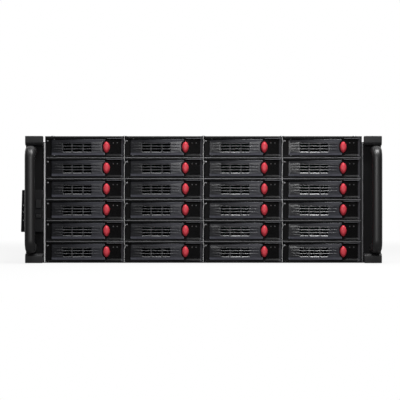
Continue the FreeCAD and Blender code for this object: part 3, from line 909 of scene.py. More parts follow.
@dataclass
class SwingLever:
    """Swing front of a tray: a bowed face with a brow along its top and a louvre grille in a pit.

    The brow's arcs have the angle at their ends, their radius and their number of chords. Steps of the pit
    and the grooves, and the lip's section, have depths behind the front.
    """

    button: ReleaseButton
    left: float = -45.7
    right: float = 27.1
    low: float = 2.9
    high: float = 24.7
    front: float = -6.5
    left_round: float = 1.5
    right_round: float = 0.6
    side_round: float = 0.8
    notch_room: float = 0.8
    brow_arcs: tuple[tuple[float, float, int], ...] = ((12, 1.2, 2), (31, 6.5, 5), (90, 0.7, 4))
    bowed: float = 1.35
    bow_middle: float = 4.0
    grille_left: float = -29.8
    grille_right: float = 8.6
    grille_low: float = 6.8
    grille_high: float = 19.7
    pit_depth: float = 3.0
    pit_edge: Points = ((0.6, 0.0), (0.25, 0.1), (0.05, 0.35))
    slot_lows: Places = (8.2, 12.15, 16.1)
    slot_height: float = 2.4
    slot_inset: float = 0.4
    slot_flare: float = 0.25
    slot_bevel: float = 0.3
    groove_tips: Point = (-42.2, 21.2)
    groove_gap: float = 1.2
    groove_tip_half: float = 0.4
    groove_half: float = 0.9
    groove_steps: Points = ((1.0, 0.0), (0.85, 0.12), (0.12, 0.7))
    blade_spans: Points = ((10.9, 11.9), (14.8, 15.8), (18.6, 19.5))
    blade_tips: Point = (-42.6, 21.6)
    blade_tip_share: float = 0.12
    blade_shoulder: float = 2.0
    blade_shoulder_share: float = 0.75
    blade_proud: float = 0.3
    blade_deep: float = 3.2
    blade_top: float = 0.62
    blade_corner: Point = (0.52, 0.03)
    blade_slope: Point = (0.02, 0.6)
    blade_nose: float = 0.75
    blade_chin: float = 0.15
    lip_runs: Points = ((-31.4, -18.6), (-16.6, -3.6), (-1.7, 8.6))
    lip_section: Points = ((0.3, 5.9), (0.3, 6.3), (0.4, 6.5), (1.35, 7.87), (1.6, 8.0), (3.1, 8.0),
                           (3.1, 5.9))
    rib_places: Places = (-17.6, -2.7)
    rib_half: float = 0.45
    rib_proud: float = 0.3
    rib_deep: float = 3.0
    rib_lean: float = 0.9
    rib_crown: float = 0.04
    rib_foot: float = 0.3

    def outline(self, top: float, side: float) -> Outline:
        """The outline with a notch for the button.

        Args:
            top: how far the top edge is taken in.
            side: how far the other edges are taken in.

        Returns:
            The outline, always with the same number of points.
        """
        left, right = self.left + side, self.right - side
        low, high = self.low + side, self.high - top
        large, small, button = self.left_round, self.right_round, self.button
        reach = button.radius + self.notch_room + side
        turn = math.degrees(math.acos((button.across - right) / reach))
        points = arc(left + large, low + large, large, 180, 270, 4)
        points += arc(right - small, low + small, small, 270, 360, 3)
        points += arc(button.across, button.up - button.straight, reach, 180 + turn, 180, 6)
        points += arc(button.across, button.up + button.straight, reach, 180, 180 - turn, 6)
        points += arc(right - small, high - small, small, 0, 90, 3)
        points += arc(left + large, high - large, large, 90, 180, 4)
        return Outline(tuple(points))

    def brow(self) -> list[Point]:
        """Steps of the brow along the lever's top, in three arcs.

        Returns:
            Drop below the top edge and depth behind the front of each step.
        """
        spots = [(0.0, 0.0)]
        first = 0
        for last, radius, steps in self.brow_arcs:
            up, sunk = spots[-1]
            start = math.radians(first)
            for step in range(1, steps + 1):
                turn = math.radians(first + (last - first) * step / steps)
                spots.append((up + radius * (math.sin(turn) - math.sin(start)),
                              sunk + radius * (math.cos(start) - math.cos(turn))))
            first = last
        return [(spots[-1][0] - up, sunk) for up, sunk in spots]

    def mesh(self, back: float, back_edge: float) -> bpy.types.Mesh:
        """The lever with its grille.

        Args:
            back: depth of its back.
            back_edge: bevel round its back, or 0 for none.

        Returns:
            The mesh.
        """
        skin = Skin()
        shell = []
        for top, sunk in self.brow():
            near = max(0.0, self.side_round - sunk)
            side = self.side_round - math.sqrt(self.side_round ** 2 - near ** 2)
            shell.append(skin.ring(self.outline(top, side), self.front + sunk))
        if back_edge:
            shell.append(skin.ring(self.outline(0.0, 0.0), back - back_edge))
        shell.append(skin.ring(self.outline(back_edge, back_edge), back))
        pit = self.pit(skin)
        slots = self.slots(skin, back)
        grooves = self.grooves(skin)
        for run in (shell, pit, *slots, *grooves):
            skin.bands(run)
        for groove in grooves:
            skin.cap(groove[-1])
        skin.cap(shell[0], [pit[0], *(groove[0] for groove in grooves)])
        skin.cap(pit[-1], [slot[0] for slot in slots])
        skin.cap(shell[-1], [slot[-1] for slot in slots])
        for low, high in self.blade_spans:
            self.blade(skin, low, high)
        self.lip(skin)
        self.bow(skin, back)
        return skin.mesh("tray_lever")

    def bow(self, skin: Skin, back: float) -> None:
        """Bend the front a little backwards towards both ends.

        Args:
            skin: the skin that is bent.
            back: depth at which it stays flat.
        """
        half = (self.right - self.left) / 2
        for vert in skin.cells.verts:
            share = (back * MM - vert.co.y) / ((back - self.front) * MM)
            vert.co.y += self.bowed * MM * share * ((vert.co.x / MM - self.bow_middle) / half) ** 2

    def pit(self, skin: Skin) -> list[Ring]:
        """Rings of the grille pit from its soft rim down to its floor.

        Args:
            skin: the lever's skin.

        Returns:
            The rings in order.
        """
        rim = Outline.rounded(self.grille_left, self.grille_low, self.grille_right, self.grille_high,
                              radius=0.8)
        steps = (*self.pit_edge, (0.0, self.pit_depth))
        return [skin.ring(rim.grown(room), self.front + sunk) for room, sunk in steps]

    def slots(self, skin: Skin, back: float) -> list[list[Ring]]:
        """Rings of the slots from their bevelled mouths in the pit's floor to the back.

        Args:
            skin: the lever's skin.
            back: depth of the lever's back.

        Returns:
            The rings of each slot in order.
        """
        left, right = self.grille_left + self.slot_inset, self.grille_right - self.slot_inset
        deep = self.front + self.pit_depth
        slots = []
        for low in self.slot_lows:
            slot = Outline.rounded(left, low, right, low + self.slot_height, radius=0.5, steps=2)
            slots.append([skin.ring(slot.grown(self.slot_flare), deep),
                          skin.ring(slot, deep + self.slot_bevel),
                          skin.ring(slot, back)])
        return slots

    def grooves(self, skin: Skin) -> list[list[Ring]]:
        """Rings of the V-shaped grooves that run out to points beyond both ends of each slot.

        Args:
            skin: the lever's skin.

        Returns:
            The rings of each groove in order.
        """
        tip, wide = self.groove_tip_half, self.groove_half
        spans = ((self.groove_tips[0], tip, self.grille_left - self.groove_gap, wide),
                 (self.grille_right + self.groove_gap, wide, self.groove_tips[1], tip))
        grooves = []
        for slot_low in self.slot_lows:
            middle = slot_low + self.slot_height / 2
            for left, left_half, right, right_half in spans:
                corners = ((left, middle - left_half), (right, middle - right_half),
                           (right, middle + right_half), (left, middle + left_half))
                outline = Outline.filleted(corners, radius=0.18, steps=2)
                grooves.append([skin.ring(outline.squeezed(middle, share), self.front + sunk)
                                for share, sunk in self.groove_steps])
        return grooves

    def blade(self, skin: Skin, low: float, high: float) -> None:
        """A blade across the grille with a sloped upper edge; it runs out to points on the bowed front.

        Args:
            skin: the lever's skin.
            low, high: heights of the blade's edges.
        """
        height, shoulder = high - low, self.blade_shoulder
        corner, corner_drop = self.blade_corner
        slope, slope_share = self.blade_slope
        spots = ((self.blade_tips[0], self.blade_tip_share),
                 (self.grille_left - shoulder, self.blade_shoulder_share),
                 (self.grille_left, 1.0),
                 (self.grille_right, 1.0),
                 (self.grille_right + shoulder, self.blade_shoulder_share),
                 (self.blade_tips[1], self.blade_tip_share))
        rings = []
        for across, share in spots:
            nose = self.front - self.blade_proud * share
            foot = high - height * share
            points = ((nose + self.blade_deep, high),
                      (nose + self.blade_top * share, high),
                      (nose + corner * share, high - corner_drop * share),
                      (nose + slope, high - slope_share * height * share),
                      (nose, high - self.blade_nose * height * share),
                      (nose + self.blade_chin * share, foot),
                      (nose + self.blade_deep, foot))
            rings.append(skin.ring(Outline(points), across, Plane.SIDE))
        skin.loft(rings)

    def lip(self, skin: Skin) -> None:
        """Sloped lip along the foot of the grille, broken at the ribs.

        Args:
            skin: the lever's skin.
        """
        section = Outline(tuple((self.front + sunk, up) for sunk, up in self.lip_section))
        for left, right in self.lip_runs:
            skin.prism(section, left, right, plane=Plane.SIDE)

    def ribs(self, back: float) -> bpy.types.Mesh:
        """Thin upright webs that tie the blades together, crowned and leaning back a little at their tops.

        Args:
            back: depth of the lever's back.

        Returns:
            The mesh.
        """
        skin = Skin()
        low, high = self.grille_low + self.rib_foot, self.blade_spans[-1][1]
        for across in self.rib_places:
            rings = []
            for up, lean in ((low, 0.0), (high, self.rib_lean)):
                near = self.front - self.rib_proud + lean
                points = [(across + self.rib_half * step / 2, near + self.rib_crown * step ** 2)
                          for step in (-2, -1, 0, 1, 2)]
                points += [(across + side * self.rib_half, near + self.rib_deep) for side in (1, -1)]
                rings.append(skin.ring(Outline(tuple(points)), up, Plane.TOP))
            skin.loft(rings)
        self.bow(skin, back)
        return skin.mesh("tray_ribs")


@dataclass
class TrayBezel:
    """Frame round a lever with the indicator recess at its right and the small fittings in it.

    The bead's section has depths and heights, the lamp's dome radii and rises.
    """

    button: ReleaseButton
    lever: SwingLever
    half: float = 52.2
    low: float = 0.5
    high: float = 27.1
    proud: float = 5.0
    floor: float = 2.0
    back: float = 9.0
    lip: float = 2.0
    window: Box = (-40.0, 5.5, 22.0, 22.0)
    shank_gap: float = 0.4
    rim_left: float = 27.7
    rim_right: float = 51.0
    rim_front: float = -4.8
    rim_foot: float = -3.6
    bead: Points = ((-4.8, 25.2), (-5.5, 25.2), (-5.6, 25.35), (-5.05, 26.2), (-4.8, 26.2))
    bead_inset: Point = (2.0, 0.2)
    pane_left: float = 34.6
    pane_right: float = 48.9
    pane_low: float = 4.35
    pane_high: float = 24.3
    pane_gap: float = 0.1
    pane_thick: float = 1.1
    hole_radius: float = 0.95
    hole_pitch: float = 2.3
    hole_lines: int = 7
    hole_count: int = 6
    hole_margin: Point = (1.35, 1.6)
    lamp_places: Places = (38.1, 43.6)
    lamp_up: float = 19.85
    lamp_dome: Points = ((0.95, 0.0), (0.95, 0.3), (0.7, 0.65), (0.3, 0.8))
    catch_left: float = -52.0
    catch_tip: float = -49.2
    catch_front: float = -4.3
    catch_gauge: float = 0.9
    catch_span: Point = (21.6, 23.2)
    pin_across: float = -42.2
    pin_depth: float = -3.0
    pin_radius: float = 1.2

    def mesh(self) -> bpy.types.Mesh:
        """Frame open at its left, its floor with a window, and the sloped rim and bead of the recess.

        Returns:
            The mesh.
        """
        skin = Skin()
        low, high = self.low + self.lip, self.high - self.lip
        arms = ((-self.half, self.low), (self.half, self.low), (self.half, self.high),
                (-self.half, self.high), (-self.half, high), (self.rim_right, high),
                (self.rim_right, low), (-self.half, low))
        skin.prism(Outline.filleted(arms, radius=0.55, steps=3), -self.proud, self.floor, edge=0.45)
        openings = [Outline.rounded(*self.window, radius=1.0), self.button.shank(self.shank_gap)]
        plate = Outline.rounded(-self.half, self.low, self.half, self.high, radius=0.35, steps=2)
        skin.prism(plate, self.floor, self.back, back_edge=0.5, holes=openings)
        outer = self.recess(self.rim_right, low, high)
        inner = self.recess(self.pane_right, self.pane_low, self.pane_high)
        steps = ((outer, self.rim_front), (inner, self.rim_foot), (inner, self.floor), (outer, self.floor))
        runs = [[skin.spot(*place, depth) for place in path] for path, depth in steps]
        skin.bands((*runs, runs[0]), closed=False)
        for end in (0, -1):
            skin.cap([run[end] for run in runs])
        left, right = self.bead_inset
        skin.prism(Outline(self.bead), self.rim_left + left, self.rim_right - right, plane=Plane.SIDE)
        return skin.mesh("tray_bezel")

    def recess(self, right: float, low: float, high: float) -> list[Point]:
        """Corners of the recess, which is open at its left, from the top round to the bottom."""
        return [(self.rim_left, high), (right, high), (right, low), (self.rim_left, low)]

    def pane(self) -> bpy.types.Mesh:
        """Perforated plate in the recess: six-sided holes, and a plain band above them for the lamps.

        Returns:
            The mesh.
        """
        skin = Skin()
        margin, rise = self.hole_margin, self.hole_pitch * math.sqrt(3) / 2
        holes = []
        for line in range(self.hole_lines):
            odd = line % 2
            start = self.pane_left + margin[0] + odd * self.hole_pitch / 2
            up = self.pane_low + margin[1] + line * rise
            for step in range(self.hole_count - odd):
                across = start + step * self.hole_pitch
                holes.append(Outline.circle(across, up, self.hole_radius, sides=6))
        gap = self.pane_gap
        plate = Outline.rounded(self.pane_left, self.pane_low + gap, self.pane_right - gap,
                                self.pane_high - gap, radius=0.4, steps=2)
        skin.prism(plate, self.floor - self.pane_thick, self.floor, edge=0.15, holes=holes)
        return skin.mesh("tray_pane")

    def lamps(self) -> bpy.types.Mesh:
        """Two small lamp domes above the perforation.

        Returns:
            The mesh.
        """
        skin = Skin()
        seat = self.floor - self.pane_thick
        for across in self.lamp_places:
            skin.turned(self.lamp_dome, across, self.lamp_up, Plane.FRONT, seat, out=-1, sides=14)
        return skin.mesh("tray_lamps")

    def catch(self) -> bpy.types.Mesh:
        """Bent catch in the open left end of the bezel.

        Returns:
            The mesh.
        """
        skin = Skin()
        inner, under = self.catch_left + self.catch_gauge, self.catch_front + self.catch_gauge
        hook = ((self.catch_left, self.floor), (self.catch_left, self.catch_front),
                (self.catch_tip, self.catch_front), (self.catch_tip, under), (inner, under),
                (inner, self.floor))
        skin.prism(Outline.filleted(hook, radius=0.3, steps=2), *self.catch_span, edge=0.2, back_edge=0.2,
                   plane=Plane.TOP)
        return skin.mesh("tray_catch")

    def hinge_stubs(self, sunk: float = 0.1, gap: float = 0.05) -> bpy.types.Mesh:
        """Visible ends of the hinge pin.

        Args:
            sunk: how far they reach into the bezel's lips.
            gap: the room that they leave before the lever.

        Returns:
            The mesh.
        """
        skin = Skin()
        for first, last in ((self.low + self.lip - sunk, self.lever.low - gap),
                            (self.lever.high + gap, self.high - self.lip + sunk)):
            skin.turned(((self.pin_radius, first), (self.pin_radius, last)), self.pin_across, self.pin_depth,
                        Plane.TOP, sides=16)
        return skin.mesh("hinge_stubs")


@dataclass
class TraySled:
    """Steel sled that carries the drive: slotted side rails, and two cross strips with drive screws."""

    start: float
    outer: float
    lift: float
    inner: float = 51.0
    end: float = 180.0
    high: float = 20.3
    cut: float = 8.0
    slot_places: Places = (41.0, 85.0, 143.0)
    slot_heights: Places = (6.6, 14.4)
    strip_starts: Places = (28.0, 140.0)
    strip_width: float = 16.0
    gauge: float = 0.8
    cut_reach: float = 24.0
    screw_reach: float = 46.0
    screw: ScrewHead = ScrewHead(radius=2.4)

    def mesh(self) -> bpy.types.Mesh:
        """Both rails and strips with their screws.

        Returns:
            The mesh.
        """
        skin = Skin()
        side = ((self.start, self.lift), (self.end, self.lift), (self.end, self.high - self.cut),
                (self.end - self.cut, self.high), (self.start, self.high))
        rail = Outline.filleted(side, radius=1.0)
        slots = [Outline.pill(along, up, radius=1.8, straight=3.0)
                 for along in self.slot_places for up in self.slot_heights]
        for sign in (1, -1):
            skin.prism(rail, sign * self.inner, sign * self.outer, edge=0.15, back_edge=0.15, holes=slots,
                       plane=Plane.SIDE)
        top = self.lift + self.gauge
        for start in self.strip_starts:
            middle = start + self.strip_width / 2
            strip = Outline.rounded(-self.inner, start, self.inner, start + self.strip_width, radius=0.5,
                                    steps=2)
            cuts = [Outline.pill(sign * self.cut_reach, middle, radius=2.2, straight=9.0)
                    for sign in (-1, 1)]
            skin.prism(strip, top, self.lift, edge=0.15, holes=cuts, plane=Plane.TOP)
            for sign in (-1, 1):
                self.screw.draw(skin, sign * self.screw_reach, middle, top, 1, Plane.TOP)
        return skin.mesh("tray_sled")


@dataclass
class DriveTray:
    """A whole tray: its meshes are drawn once and set in every bay."""

    lift: float = 0.3
    lever_back: float = 0.5
    lever_back_edge: float = 1.2
    button_back: float = -1.0

    def __post_init__(self) -> None:
        """Draw each mesh; levers and buttons have a form that moves and one that doesn't."""
        button = ReleaseButton()
        lever = SwingLever(button)
        bezel = TrayBezel(button, lever)
        self.bezel_mesh = bezel.mesh()
        self.pane_mesh = bezel.pane()
        self.lamp_mesh = bezel.lamps()
        self.sled_mesh = TraySled(start=bezel.back, outer=bezel.half, lift=self.lift).mesh()
        self.catch_mesh = bezel.catch()
        self.stub_mesh = bezel.hinge_stubs()
        self.rib_mesh = lever.ribs(self.lever_back)
        self.lever_meshes = {
            True: lever.mesh(self.lever_back, self.lever_back_edge),
            False: lever.mesh(bezel.floor, 0.0),
        }
        self.button_meshes = {
            True: button.mesh(self.button_back, moves=True),
            False: button.mesh(bezel.floor, moves=False),
        }

    def dress(self, row: int, column: int) -> None:
        """Set all pieces of one tray; in the top row lever and button ride on their own bodies.

        Args:
            row: the tray's row, 1 at the top.
            column: its column, 1 at the left.
        """
        spot = f"r{row}c{column}"
        tray = f"tray_{spot}"
        low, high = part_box(tray)
        place = ((low.x + high.x) / 2, 0.0, low.z - self.lift * MM)
        moves = row == 1
        lever, button = (f"lever_{spot}", f"release_{spot}") if moves else (tray, tray)
        set_piece(f"bezel_{spot}", self.bezel_mesh, BEZEL_BLACK, tray, place, [tray])
        set_piece(f"pane_{spot}", self.pane_mesh, GRILLE_BLACK, tray, place)
        set_piece(f"lamps_{spot}", self.lamp_mesh, SMOKED_LENS, tray, place)
        set_piece(f"sled_{spot}", self.sled_mesh, CAGE_STEEL, tray, place)
        set_piece(f"catch_{spot}", self.catch_mesh, SHELF_STEEL, tray, place)
        set_piece(f"front_{spot}", self.lever_meshes[moves], LEVER_GREY, lever, place,
                  [lever] if moves else [])
        # The ribs' pale finish is a painted highlight.
        set_piece(f"ribs_{spot}", self.rib_mesh, RIB_HIGHLIGHT, lever, place)
        set_piece(f"button_{spot}", self.button_meshes[moves], BUTTON_RED, button, place,
                  [button] if moves else [])
        if moves:
            set_piece(f"stubs_{spot}", self.stub_mesh, CAGE_STEEL, tray, place)


# Ears, handles and control module

@dataclass
class RackEar:
    """Rack ear with raised end blocks; side is 1 at the right and -1 at the left."""

    side: int
    inner: float = 215.0
    outer: float = 241.3
    height: float = 172.0
    gauge: float = 2.5
    notch_width: float = 2.7
    notch_height: float = 8.0
    slot_across: float = 233.45
    slot_rise: float = 50.8
    slot_radius: float = 3.4
    slot_straight: float = 0.85
    flange_front: float = -0.2
    flange_back: float = 38.0
    flange_inset: float = 12.0
    block_width: float = 23.6
    block_rise: float = 13.0
    block_proud: float = 14.5
    block_bend: float = 5.0
    block_foot: float = 1.2
    block_sunk: float = 0.2
    screw_along: float = 22.0
    screw_heights: Places = (26.0, 86.0, 146.0)
    screw: ScrewHead = ScrewHead(radius=3.4)

    def handed(self, outline: Outline) -> Outline:
        """An outline drawn for the right ear, mirrored for the left one."""
        return outline if self.side == 1 else outline.mirrored()

    def plate(self, skin: Skin) -> None:
        """Slotted plate with a notch at its inner top corner, and the flange along the case.

        Args:
            skin: the skin that they are drawn in.
        """
        step, ledge = self.inner + self.notch_width, self.height - self.notch_height
        corners = ((self.inner, 0.0), (self.outer, 0.0), (self.outer, self.height), (step, self.height),
                   (step, ledge), (self.inner, ledge))
        slots = []
        for sign in (-1, 1):
            up = self.height / 2 + sign * self.slot_rise
            slot = Outline.pill(self.slot_across, up, self.slot_radius, self.slot_straight)
            slots.append(self.handed(slot))
        skin.prism(self.handed(Outline.filleted(corners, radius=0.8, steps=3)), -self.gauge, 0.0, edge=0.3,
                   back_edge=0.3, holes=slots)
        flange = Outline.rounded(self.flange_front, self.flange_inset, self.flange_back,
                                 self.height - self.flange_inset, radius=3.0)
        skin.prism(flange, self.side * (self.inner + self.gauge), self.side * self.inner, edge=0.3,
                   plane=Plane.SIDE)

    def block(self, skin: Skin, top: bool) -> None:
        """End block with a soft edge towards the middle.

        Args:
            skin: the skin that it is drawn in.
            top: whether it is the upper block.
        """
        seat, bend, foot = self.block_sunk - self.gauge, self.block_bend, self.block_foot
        points = [(seat, 0.0), (seat, self.block_rise)]
        points += arc(bend - self.block_proud, self.block_rise - bend, bend, 90, 180, 6)
        points += arc(foot - self.block_proud, foot, foot, 180, 270, 3)
        if top:
            points = [(along, self.height - up) for along, up in reversed(points)]
        inner = self.outer - self.block_width
        skin.prism(Outline(tuple(points)), self.side * inner, self.side * self.outer, edge=0.7,
                   back_edge=0.7, plane=Plane.SIDE)

    def dress(self) -> None:
        """Set the ear, its blocks and the screws that hold it to the case."""
        word = "right" if self.side == 1 else "left"
        ear, blocks, screws = Skin(), Skin(), Skin()
        self.plate(ear)
        set_skin(f"{word}_rack_ear", ear, EAR_BLACK, stands_for=[f"{word}_ear"])
        for top in (False, True):
            self.block(blocks, top)
        set_skin(f"{word}_end_blocks", blocks, BLOCK_BLACK)
        for up in self.screw_heights:
            self.screw.draw(screws, self.screw_along, up, self.side * (self.inner + self.gauge), self.side,
                            Plane.SIDE)
        set_skin(f"{word}_ear_screws", screws, CAGE_STEEL)


@dataclass
class GrabHandle:
    """Round bar bent back into the rack ears at both ends."""

    across: float = 232.55
    radius: float = 6.8
    proud: float = 38.5
    seat: float = 2.5
    low: float = 20.6
    high: float = 151.4
    bend: float = 10.5
    bend_step: int = 10
    fullness: float = 2.5

    def path(self) -> list[tuple[float, float, float]]:
        """Places along the bar.

        Returns:
            Depth, height and the angle of the bar's direction in degrees, at each place.
        """
        turn = self.bend - self.proud
        spots = [(-self.seat, self.low, 180.0), (turn, self.low, 180.0)]
        for angle in range(self.bend_step, 90, self.bend_step):
            swing = math.radians(angle)
            spots.append((turn - self.bend * math.sin(swing), self.low + self.bend * (1 - math.cos(swing)),
                          180.0 - angle))
        spots.append((-self.proud, self.low + self.bend, 90.0))
        ends = self.low + self.high
        return spots + [(depth, ends - up, 180.0 - angle) for depth, up, angle in reversed(spots)]

    def draw(self, skin: Skin, across: float) -> None:
        """Draw one bar of a round section with slightly flattened sides.

        Args:
            skin: the skin that it is drawn in.
            across: its middle.
        """
        section = Outline.swelled(0.0, 0.0, self.radius, self.radius, self.fullness)
        rings = []
        for depth, up, angle in self.path():
            turn = math.radians(angle)
            aside = Vector((0.0, -math.sin(turn), math.cos(turn)))
            middle = Vector((across, depth, up))
            points = [middle + Vector((first, 0.0, 0.0)) + aside * second
                      for first, second in section.points]
            rings.append([skin.cells.verts.new(point * MM) for point in points])
        skin.loft(rings)

    def dress(self) -> None:
        """Set both handles as one piece."""
        skin = Skin()
        for side in (-1, 1):
            self.draw(skin, side * self.across)
        set_skin("bent_handles", skin, BAR_BLACK, stands_for=["grab_handles"])


@dataclass
class ControlModule:
    """Housing behind the left handle with two keys and three lamps; the dome has radii and rises."""

    front: float = -14.0
    back: float = -2.5
    shell: Points = ((-246.9, 42.0), (-217.6, 42.0), (-217.6, 99.0), (-245.4, 99.0))
    strip: Box = (-245.0, 47.0, -241.8, 94.0)
    strip_rise: float = 0.4
    strip_sunk: float = 0.2
    key_left: float = -227.0
    key_right: float = -219.0
    key_rise: float = 1.0
    key_back: float = -8.5
    key_gap: float = 0.3
    power_span: Point = (74.0, 86.0)
    reset_span: Point = (61.0, 66.0)
    lamp_across: float = -243.4
    lamp_heights: Places = (77.5, 69.0, 58.0)
    lamp_dome: Points = ((0.85, -0.3), (0.85, 0.1), (0.6, 0.35), (0.3, 0.42))

    def dress(self) -> None:
        """Set the housing with its raised strip, its keys and its lamps."""
        housing, lamps, gap = Skin(), Skin(), self.key_gap
        spans = {"power_key": self.power_span, "reset_key": self.reset_span}
        left, right = self.key_left - gap, self.key_right + gap
        wells = [Outline.rounded(left, low - gap, right, high + gap, radius=1.0)
                 for low, high in spans.values()]
        strip_face = self.front - self.strip_rise
        housing.prism(Outline.filleted(self.shell, radius=1.4), self.front, self.back, edge=0.4, holes=wells)
        strip = Outline.rounded(*self.strip, radius=1.2)
        housing.prism(strip, strip_face, self.front + self.strip_sunk, edge=0.4)
        set_skin("module_housing", housing, MODULE_BLACK, stands_for=["control_module"])
        for key, (low, high) in spans.items():
            cap = Skin()
            cap.prism(Outline.rounded(self.key_left, low, self.key_right, high, radius=0.9),
                      self.front - self.key_rise, self.key_back, edge=0.6)
            set_skin(f"{key}_cap", cap, KEY_BLACK, key, [key])
        for up in self.lamp_heights:
            lamps.turned(self.lamp_dome, self.lamp_across, up, Plane.FRONT, strip_face, out=-1, sides=16)
        set_skin("module_lamps", lamps, SMOKED_LENS, stands_for=["status_lamps"])


# Fans

@dataclass
class CaseFan:
    """One of the fans: a rotor with twisted blades, the motor disc on the spider and the frame's screws.

    Turned profiles have radii and rises; angles are in degrees.
    """

    number: int
    pitch: float = 135.0
    up: float = 86.0
    front: float = 235.2
    back: float = 257.7
    frame_back: float = 258.2
    hub: Points = ((6.0, 0.6), (7.0, 0.0), (17.6, 0.0), (19.3, 0.6), (20.0, 2.2), (20.0, 22.5))
    nose: Points = ((3.2, -1.0), (4.0, -0.6), (4.0, 0.8))
    disc: Points = ((19.6, 0.2), (20.4, 0.8), (20.4, 2.6), (19.6, 3.4), (8.0, 3.4), (7.4, 2.9))
    round_sides: int = 40
    blades: int = 7
    blade_root: float = 18.5
    blade_tip: float = 54.6
    blade_chords: int = 6
    blade_spans: int = 4
    root_twist: float = 52.0
    twist_fall: float = 24.0
    root_chord: float = 21.0
    chord_gain: float = 9.0
    camber: float = 1.8
    edge_half: float = 0.15
    middle_half: float = 0.95
    sweep: float = 14.0
    blade_ahead: float = 1.0
    screw_reach: float = 52.5
    screw: ScrewHead = ScrewHead(radius=3.4)

    def blade(self, skin: Skin, turn: float) -> None:
        """A cambered blade whose pitch falls towards its tip.

        Args:
            skin: the rotor's skin.
            turn: the blade's angle round the axis, in radians.
        """
        chords = self.blade_chords
        path = [(step / chords - 0.5, 1) for step in range(chords + 1)]
        path += [(step / chords - 0.5, -1) for step in range(chords - 1, 0, -1)]
        middle = (self.front + self.back) / 2
        rings = []
        for span in range(self.blade_spans + 1):
            share = span / self.blade_spans
            radius = self.blade_root + (self.blade_tip - self.blade_root) * share
            twist = math.radians(self.root_twist - self.twist_fall * share)
            chord = self.root_chord + self.chord_gain * share
            ring = []
            for spot, face in path:
                hump = 1 - 4 * spot ** 2
                along = chord * spot
                off = self.camber * hump + face * (self.edge_half + self.middle_half * hump)
                swing = along * math.cos(twist) - off * math.sin(twist)
                depth = middle + along * math.sin(twist) + off * math.cos(twist) - self.blade_ahead
                angle = turn + math.radians(self.sweep) * share ** 2 + swing / radius
                ring.append(skin.spot(radius * math.sin(angle), radius * math.cos(angle), depth))
            rings.append(ring)
        skin.loft(rings)

    def rotor(self) -> bpy.types.Mesh:
        """Hub with a rounded edge, a nose and its ring of blades.

        Returns:
            The mesh.
        """
        skin = Skin()
        skin.turned(self.hub, 0.0, 0.0, Plane.FRONT, self.front, sides=self.round_sides)
        skin.turned(self.nose, 0.0, 0.0, Plane.FRONT, self.front)
        for index in range(self.blades):
            self.blade(skin, 2 * math.pi * index / self.blades)
        return skin.mesh("fan_rotor")

    def dress(self) -> None:
        """Set the rotor on its own body, the motor disc and the screws on the case."""
        across = (self.number - 2) * self.pitch
        node = f"fan_rotor_{self.number}"
        set_piece(f"{node}_drawn", self.rotor(), FAN_BLACK, node, (across * MM, 0.0, self.up * MM), [node])
        disc, screws = Skin(), Skin()
        disc.turned(self.disc, across, self.up, Plane.FRONT, self.frame_back, sides=self.round_sides)
        set_skin(f"fan_motor_disc_{self.number}", disc, FAN_BLACK)
        for side in (-1, 1):
            for rise in (-1, 1):
                self.screw.draw(screws, across + side * self.screw_reach, self.up + rise * self.screw_reach,
                                self.frame_back, 1, Plane.FRONT)
        set_skin(f"fan_screws_{self.number}", screws, CAGE_STEEL)


# Sheet metal

def pressed_frame(skin: Skin, box: Box, width: float, seat: float, out: float, plane: Plane) -> None:
    """A low pressed frame round a panel.

    Args:
        skin: the skin that it is drawn in.
        box: left, low, right and high sides of the opening that it leaves.
        width: width of the frame.
        seat: depth of the face that it stands on.
        out: 1 or -1, the way it faces.
        plane: the plane of the face.
    """
    left, low, right, high = box
    corner, sunk = 1.0, 0.1
    outer = Outline.rounded(left - width, low - width, right + width, high + width, width + corner, steps=6)
    inner = Outline.rounded(left, low, right, high, corner)
    skin.prism(outer, seat + out * PRESSED_RISE, seat - out * sunk, edge=PRESSED_RISE * 0.8, holes=[inner],
               plane=plane)


